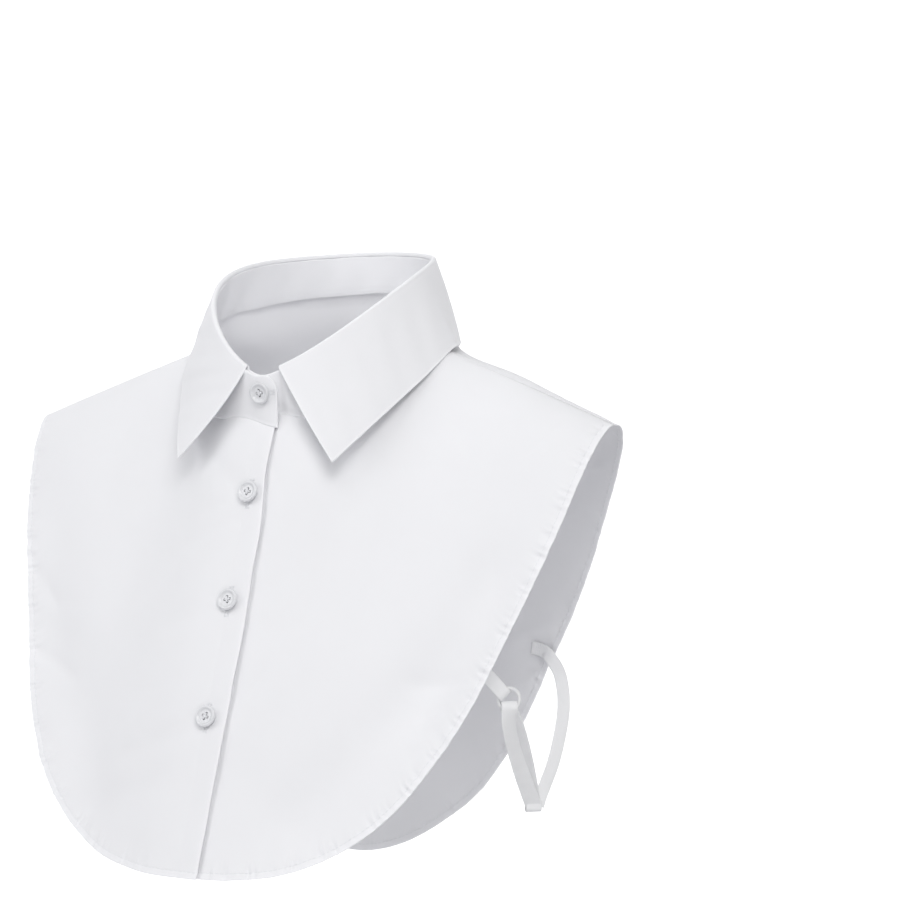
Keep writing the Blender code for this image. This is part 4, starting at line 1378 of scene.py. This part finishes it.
def ring_plastic():
    """White moulded plastic with faint flow marks."""
    material, tree, shader = new_material("ring plastic", 0.32, specular=0.5, coat=0.1)
    body = add_node(tree, "ShaderNodeTexCoord")
    flow = add_node(tree, "ShaderNodeTexNoise", Vector=body.outputs["Object"], Scale=420.0, Detail=2.0)
    bump = add_node(tree, "ShaderNodeBump", Strength=0.15, Distance=0.05 * MM, Height=flow.outputs[0])
    shade = add_node(tree, "ShaderNodeMapRange", Value=flow.outputs[0], _3=0.97, _4=1.0)
    link_surface(tree, shader, (0.87, 0.87, 0.88), shade.outputs[0], bump)
    return material


TAPE = woven_tape()
PLASTIC = ring_plastic()
print("materials", TAPE.name, PLASTIC.name)

# %% Sizes of a strap
TAB_WIDTH = 6.8 * MM
LOOP_WIDTH = 8.1 * MM
STRAP_WIDTH = 6.7 * MM
TAPE_WALL = 1.0 * MM
TAPE_HALF_WALL = 0.42 * MM
RING_RADIUS = 5.4 * MM
RING_TUBE = 0.95 * MM
RING_STEPS = 80
TUBE_STEPS = 20
RING_CENTRE = np.array([136, -41, -134]) * MM
RING_FACING = np.array([0.6, -0.8, 0])
WIDTH_WAY = np.array([0.8, 0.6, 0])
LOOP_BOTTOM = np.array([133, -7, -193]) * MM
LOOP_OPENING = 1.2 * MM
LOOP_SPREAD = 3.0 * MM
LOOP_TWIST = (-0.55, 0.75)
END_REACH = 1.85 * MM
END_TURN = 4.6 * MM
TAB_SEAT_X = 122 * MM
TAB_SEAT_Z = -107 * MM
# (columns x, z and how far inside the back, in millimetres)
BACK_SEAT = ((106, -120, 1.9), (114, -121, 2.3), (120, -123, 3.8))
# (columns x, y, z in millimetres, then the way the face looks, x and y)
BACK_STRAP = ((127.5, 36.5, -133, 0.5, -0.85), (131.8, 31, -150, 0.6, -0.8), (133.5, 17, -172, 0.6, -0.8),
              (133.8, 1, -188, 0.6, -0.8), (134.2, -4, -193, 0.6, -0.8))
TAPE_ROWS = 150
TAPE_ACROSS = np.array([-1, -0.985, -0.95, -0.88, -0.7, -0.35, 0, 0.35, 0.7, 0.88, 0.95, 0.985, 1])
FRILL = 0.07 * MM
SEW_ROW_STEP = 1.3 * MM
SEW_HALF = 0.46


def ribbon(name, rows, across, width, hand, node, seed):
    """Flat tape along a path, with its sides rounded and its edges a little frilled."""
    rows = np.asarray(rows, float)
    across = np.broadcast_to(np.asarray(across, float), rows.shape)
    fine = smooth_curve(np.hstack([rows, across * MM]), np.linspace(0, 1, TAPE_ROWS))
    rows, across = fine[:, :3], fine[:, 3:]
    tangent = unit(np.gradient(rows, axis=0))
    across = unit(square_to(across, tangent))
    share = TAPE_ACROSS[:, None]
    aside = share * width / 2
    walk = lengths(rows, 0)
    points = rows[None] + across[None] * aside[..., None]
    points[..., 0] *= hand
    if hand < 0:
        points = points[::-1]
    normals = surface_normals(points)
    frill = uneven_waves(walk, 5.2 * MM, seed)[None] * share
    frill = frill + uneven_waves(walk, 11 * MM, seed + 1)[None]
    points = points + normals * (frill * FRILL)[..., None]
    ends = np.minimum(walk, walk[-1] - walk)
    half = TAPE_HALF_WALL * round_edge(width / 2 - np.abs(aside), 0.42 * MM) * round_edge(ends, 0.3 * MM)
    uv = np.stack(np.broadcast_arrays(walk[None], aside + 0.01), axis=-1)
    edge = np.exp(-(width / 2 - np.abs(aside)) / (0.5 * MM)) * np.ones_like(walk)[None]
    item = cloth_shell(name, points, normals, half, half, uv, edge)
    dress(item, TAPE, [node] if node else [], "tape")
    mirror = [hand, 1, 1]
    return item, rows * mirror, tangent * mirror, across * mirror


def hook_rows(near, bar, far, facing, away, width):
    """Path from `near` to a round bar, half round it on its `away` side, and back to `far`."""
    sag = RING_RADIUS - math.sqrt(RING_RADIUS ** 2 - (width / 2) ** 2)
    reach = RING_TUBE - 0.05 * MM + SEAM_GAP * 2.2 + TAPE_WALL / 2 + sag / 2
    turns = np.linspace(0, math.pi, 17)[:, None]
    bar = bar + away * sag / 2
    bend = bar + (facing * np.cos(turns) + away * np.sin(turns)) * reach
    first = np.linspace(near, bend[0], 10)[:-1]
    last = np.linspace(bend[-1], far, 10)[1:]
    return np.vstack([first, bend, last])


def ring_surface(name, hand):
    """Torus: centre + (R + r cos b) * circle way + r sin b * facing, closed both ways round."""
    around = np.arange(RING_STEPS) * 2 * math.pi / RING_STEPS
    section = np.arange(TUBE_STEPS) * 2 * math.pi / TUBE_STEPS
    way = WIDTH_WAY[None] * np.cos(around)[:, None] + UP[None] * np.sin(around)[:, None]
    radial = way[:, None] * (RING_RADIUS + RING_TUBE * np.cos(section))[None, :, None]
    points = RING_CENTRE + radial + RING_FACING * (RING_TUBE * np.sin(section))[None, :, None]
    points[..., 0] *= hand
    numbers = np.arange(RING_STEPS * TUBE_STEPS).reshape(RING_STEPS, TUBE_STEPS)
    next_around = np.roll(numbers, -1, axis=0)
    next_both = np.roll(next_around, -1, axis=1)
    faces = np.stack([numbers, np.roll(numbers, -1, axis=1), next_both, next_around], axis=-1).reshape(-1, 4)
    return mesh_object(name, points, faces)


def sew_across(name, centre, along, aside, normal, lift, rows):
    """Short parallel rows of stitches straight across a tape."""
    made = []
    for index in range(rows):
        middle = centre + along * (index - (rows - 1) / 2) * SEW_ROW_STEP
        path = np.linspace(middle - aside, middle + aside, 12)
        way = np.broadcast_to(normal, path.shape)
        made.append(stitch_line(f"{name}_{index + 1}", path, way, lift, 1.3 * MM, 1.1 * MM, 0.13 * MM))
    return made


# %% One side's straps, piece by piece
def build_tab(side, hand):
    """Tab: from inside the front's edge to the ring, round it and back against itself."""
    root = root_at_height(np.array([TAB_SEAT_X]), TAB_SEAT_Z, "front")
    seat = worn_point(np.array([TAB_SEAT_X]), root, "front")[0]
    inward = np.array([0, 1, -0.36]) / math.hypot(1, 0.36)
    sunk = sinking(np.array([hand * TAB_SEAT_X]), np.array([TAB_SEAT_Z]), "front")[0]
    seat = seat + inward * (1.2 * MM + SEAM_GAP + TAPE_WALL / 2 + max(sunk, 0))
    outward = (UP - WIDTH_WAY) / math.sqrt(2)
    bar = RING_CENTRE + outward * RING_RADIUS
    tail = bar + (seat - bar) * 0.35 - RING_FACING * (RING_TUBE + SEAM_GAP + TAPE_WALL)
    rows = hook_rows(seat, bar, tail, RING_FACING, -outward, TAB_WIDTH)
    return ribbon(f"strap_tab_{side}_tape", rows, np.cross(outward, RING_FACING), TAB_WIDTH, hand,
                  f"strap_tab_{side}", 3)[0]


def build_loop(side, hand):
    """Loop: up from its bottom, over the ring's lower bar and down again, its strands spread apart."""
    bar = RING_CENTRE - UP * RING_RADIUS
    spread = RING_FACING * 0.75 * MM
    rows = hook_rows(LOOP_BOTTOM + spread, bar, LOOP_BOTTOM - spread, RING_FACING, UP, LOOP_WIDTH)
    fall = np.clip((bar[2] - rows[:, 2]) / (bar[2] - LOOP_BOTTOM[2]), 0, 1)
    swell = np.sin(fall ** 0.62 * math.pi)
    apart = np.where(np.arange(len(rows)) < len(rows) / 2, 1.0, -1.0)
    rows = rows + (swell * apart)[:, None] * (RING_FACING * LOOP_OPENING - WIDTH_WAY * LOOP_SPREAD)
    twist = swell * np.where(apart > 0, LOOP_TWIST[0], LOOP_TWIST[1])
    across = WIDTH_WAY[None] * np.cos(twist)[:, None] + RING_FACING[None] * np.sin(twist)[:, None]
    return ribbon(f"strap_loop_{side}_tape", rows, across, LOOP_WIDTH, hand, f"strap_loop_{side}", 5)[0]


def build_back_strap(side, hand):
    """Back tape: sewn inside the back, then down to the bottom of the loop; and its sewing."""
    sewn = []
    for x, z, lift in BACK_SEAT:
        x = np.array([x * MM])
        here = worn_point(x, root_at_height(x, z * MM, "back"), "back")[0] / MM
        sunk = max(sinking(hand * x, np.array([z * MM]), "back")[0] / MM, 0)
        sewn.append((here[0], here[1] - lift - sunk, here[2], 0.35, -0.95))
    fine = smooth_curve(np.vstack([sewn, BACK_STRAP]), np.linspace(0, 1, 40))
    looks = np.column_stack([fine[:, 3:], np.zeros(len(fine))])
    across = unit(np.cross(np.gradient(fine[:, :3], axis=0), looks))
    strap, rows, tangent, aside = ribbon(f"strap_back_{side}_tape", fine[:, :3] * MM, across, STRAP_WIDTH,
                                         hand, f"strap_back_{side}", 7)
    place, tangent, aside = rows[8], tangent[8], aside[8]
    normal = np.cross(tangent, aside)
    normal = normal if normal[1] < 0 else -normal
    return [strap] + sew_across(f"strap_back_{side}_sewing", place, tangent, aside * STRAP_WIDTH * SEW_HALF,
                                normal, TAPE_HALF_WALL, 3)


def build_end(side, hand):
    """Turned-up end of the back tape, which holds both ends of the loop; and its sewing."""
    turns = np.linspace(0, math.pi, 15)[:, None]
    heel = LOOP_BOTTOM - UP * 0.6 * MM
    bend = heel - (RING_FACING * np.cos(turns) + UP * np.sin(turns)) * END_REACH
    behind = bend[0] + UP * np.linspace(END_TURN, 0, 8)[:-1, None]
    before = bend[-1] + UP * np.linspace(0, END_TURN, 8)[1:, None]
    end = ribbon(f"strap_end_{side}_tape", np.vstack([behind, bend, before]), WIDTH_WAY, LOOP_WIDTH,
                 hand, None, 9)[0]
    mirror = np.array([hand, 1, 1])
    facing = RING_FACING * mirror
    knot = LOOP_BOTTOM * mirror + UP * 2.6 * MM + facing * END_REACH
    aside = WIDTH_WAY * mirror * LOOP_WIDTH * SEW_HALF
    return [end] + sew_across(f"strap_end_{side}_sewing", knot, UP, aside, facing, TAPE_HALF_WALL, 2)


def build_straps(side, hand):
    """One side's ring, tab, doubled loop and back tape, with the sewing that joins them."""
    ring = ring_surface(f"strap_ring_{side}_plastic", hand)
    dress(ring, PLASTIC, [f"strap_ring_{side}"], "ring")
    tapes = [build_tab(side, hand), build_loop(side, hand)]
    return tapes + build_back_strap(side, hand) + build_end(side, hand)


# %% Make the straps
straps_left = build_straps("left", 1)
straps_right = build_straps("right", -1)
print("straps:", len(straps_left) + len(straps_right), "tapes and rows of stitches")

# %% [markdown]
# ## Sheets of cloth
#
# Each panel is declared with the size of its flat cut, so that its worn area can be checked against
# the cloth that it was cut from. The pieces of tape are narrower than a sheet and go with the fronts.

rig.sheet(front_left, flat=(0.205, 0.300), held="hung", rests_on=[stand], area=0.0405,
         with_pieces=stitches["front_left"] + straps_left)
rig.sheet(front_right, flat=(0.205, 0.300), held="hung", rests_on=[stand], area=0.0405,
         with_pieces=stitches["front_right"] + buttonholes + straps_right)
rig.sheet(back, flat=(0.385, 0.330), held="hung", rests_on=[stand], area=0.083, with_pieces=stitches["back"])
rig.sheet(stand, flat=(0.430, 0.040), held="folded", rests_on=[back, front_left, front_right], area=0.0122,
         with_pieces=neck_buttonhole)
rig.sheet(leaf, flat=(0.450, 0.075), held="folded", rests_on=[stand], area=0.0199)

# %% [markdown]
# ## Backdrop
#
# A sheet of white paper curves up from under the collar to a wall behind it. Farther back the paper glows as painted
# light, more towards the wall, and this glow lights the collar too.


# %% White sweep
FLOOR_Z = -0.62
FLOOR_NEAR = -6.0
FLOOR_FAR = 2.0
BEND_RADIUS = 1.2
WALL_TOP = 5.0
SWEEP_HALF = 6
SWEEP_COLUMNS = 13


def add_sweep():
    """Floor, quarter-circle bend and wall, as one profile drawn across the view."""
    bend = np.linspace(0, math.pi / 2, 24)
    curve = np.column_stack([FLOOR_FAR + BEND_RADIUS * np.sin(bend), FLOOR_Z + BEND_RADIUS * (1 - np.cos(bend))])
    profile = np.vstack([[[FLOOR_NEAR, FLOOR_Z]], curve, [[FLOOR_FAR + BEND_RADIUS, WALL_TOP]]])
    across = np.linspace(-SWEEP_HALF, SWEEP_HALF, SWEEP_COLUMNS)
    across, away, height = np.broadcast_arrays(across[None], profile[:, :1], profile[:, 1:])
    turn = math.radians(CAMERA_YAW)
    x = across * math.cos(turn) - away * math.sin(turn)
    y = across * math.sin(turn) + away * math.cos(turn)
    sweep = mesh_object("sweep", np.stack([x, y, height], axis=-1),
                        grid_faces(len(profile), SWEEP_COLUMNS)[:, ::-1])
    material, tree, shader = new_material("paper", 0.9, specular=0.1)
    body = add_node(tree, "ShaderNodeTexCoord")
    far = add_node(tree, "ShaderNodeVectorMath", settings={"operation": "DOT_PRODUCT"},
                   _0=body.outputs["Object"], _1=(-math.sin(turn), math.cos(turn), 0))
    # Painted light: the paper glows, from nothing 0.6 m behind the collar to nearly full strength 1.5 m behind it.
    glow = add_node(tree, "ShaderNodeMapRange", settings={"interpolation_type": "SMOOTHSTEP"},
                    Value=far.outputs["Value"], _1=0.6, _2=1.5, _3=0.0, _4=0.95)
    grain = add_node(tree, "ShaderNodeTexNoise", Vector=body.outputs["Object"], Scale=900.0)
    bump = add_node(tree, "ShaderNodeBump", Strength=0.05, Distance=0.1 * MM, Height=grain.outputs[0])
    shader.inputs["Base Color"].default_value = (0.62, 0.62, 0.63, 1)
    shader.inputs["Emission Color"].default_value = (1, 1, 1, 1)
    tree.links.new(glow.outputs[0], shader.inputs["Emission Strength"])
    tree.links.new(bump.outputs[0], shader.inputs["Normal"])
    sweep.data.materials.append(material)
    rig.stage(sweep)


add_sweep()

# %% Sizes of the model and of what is shown
low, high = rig.bounds()
sizes = {"cad": CAD_BOX, "visual": [[float(v) for v in low], [float(v) for v in high]]}
with open("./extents.json", "w") as report:
    json.dump(sizes, report)
print("sizes", sizes)
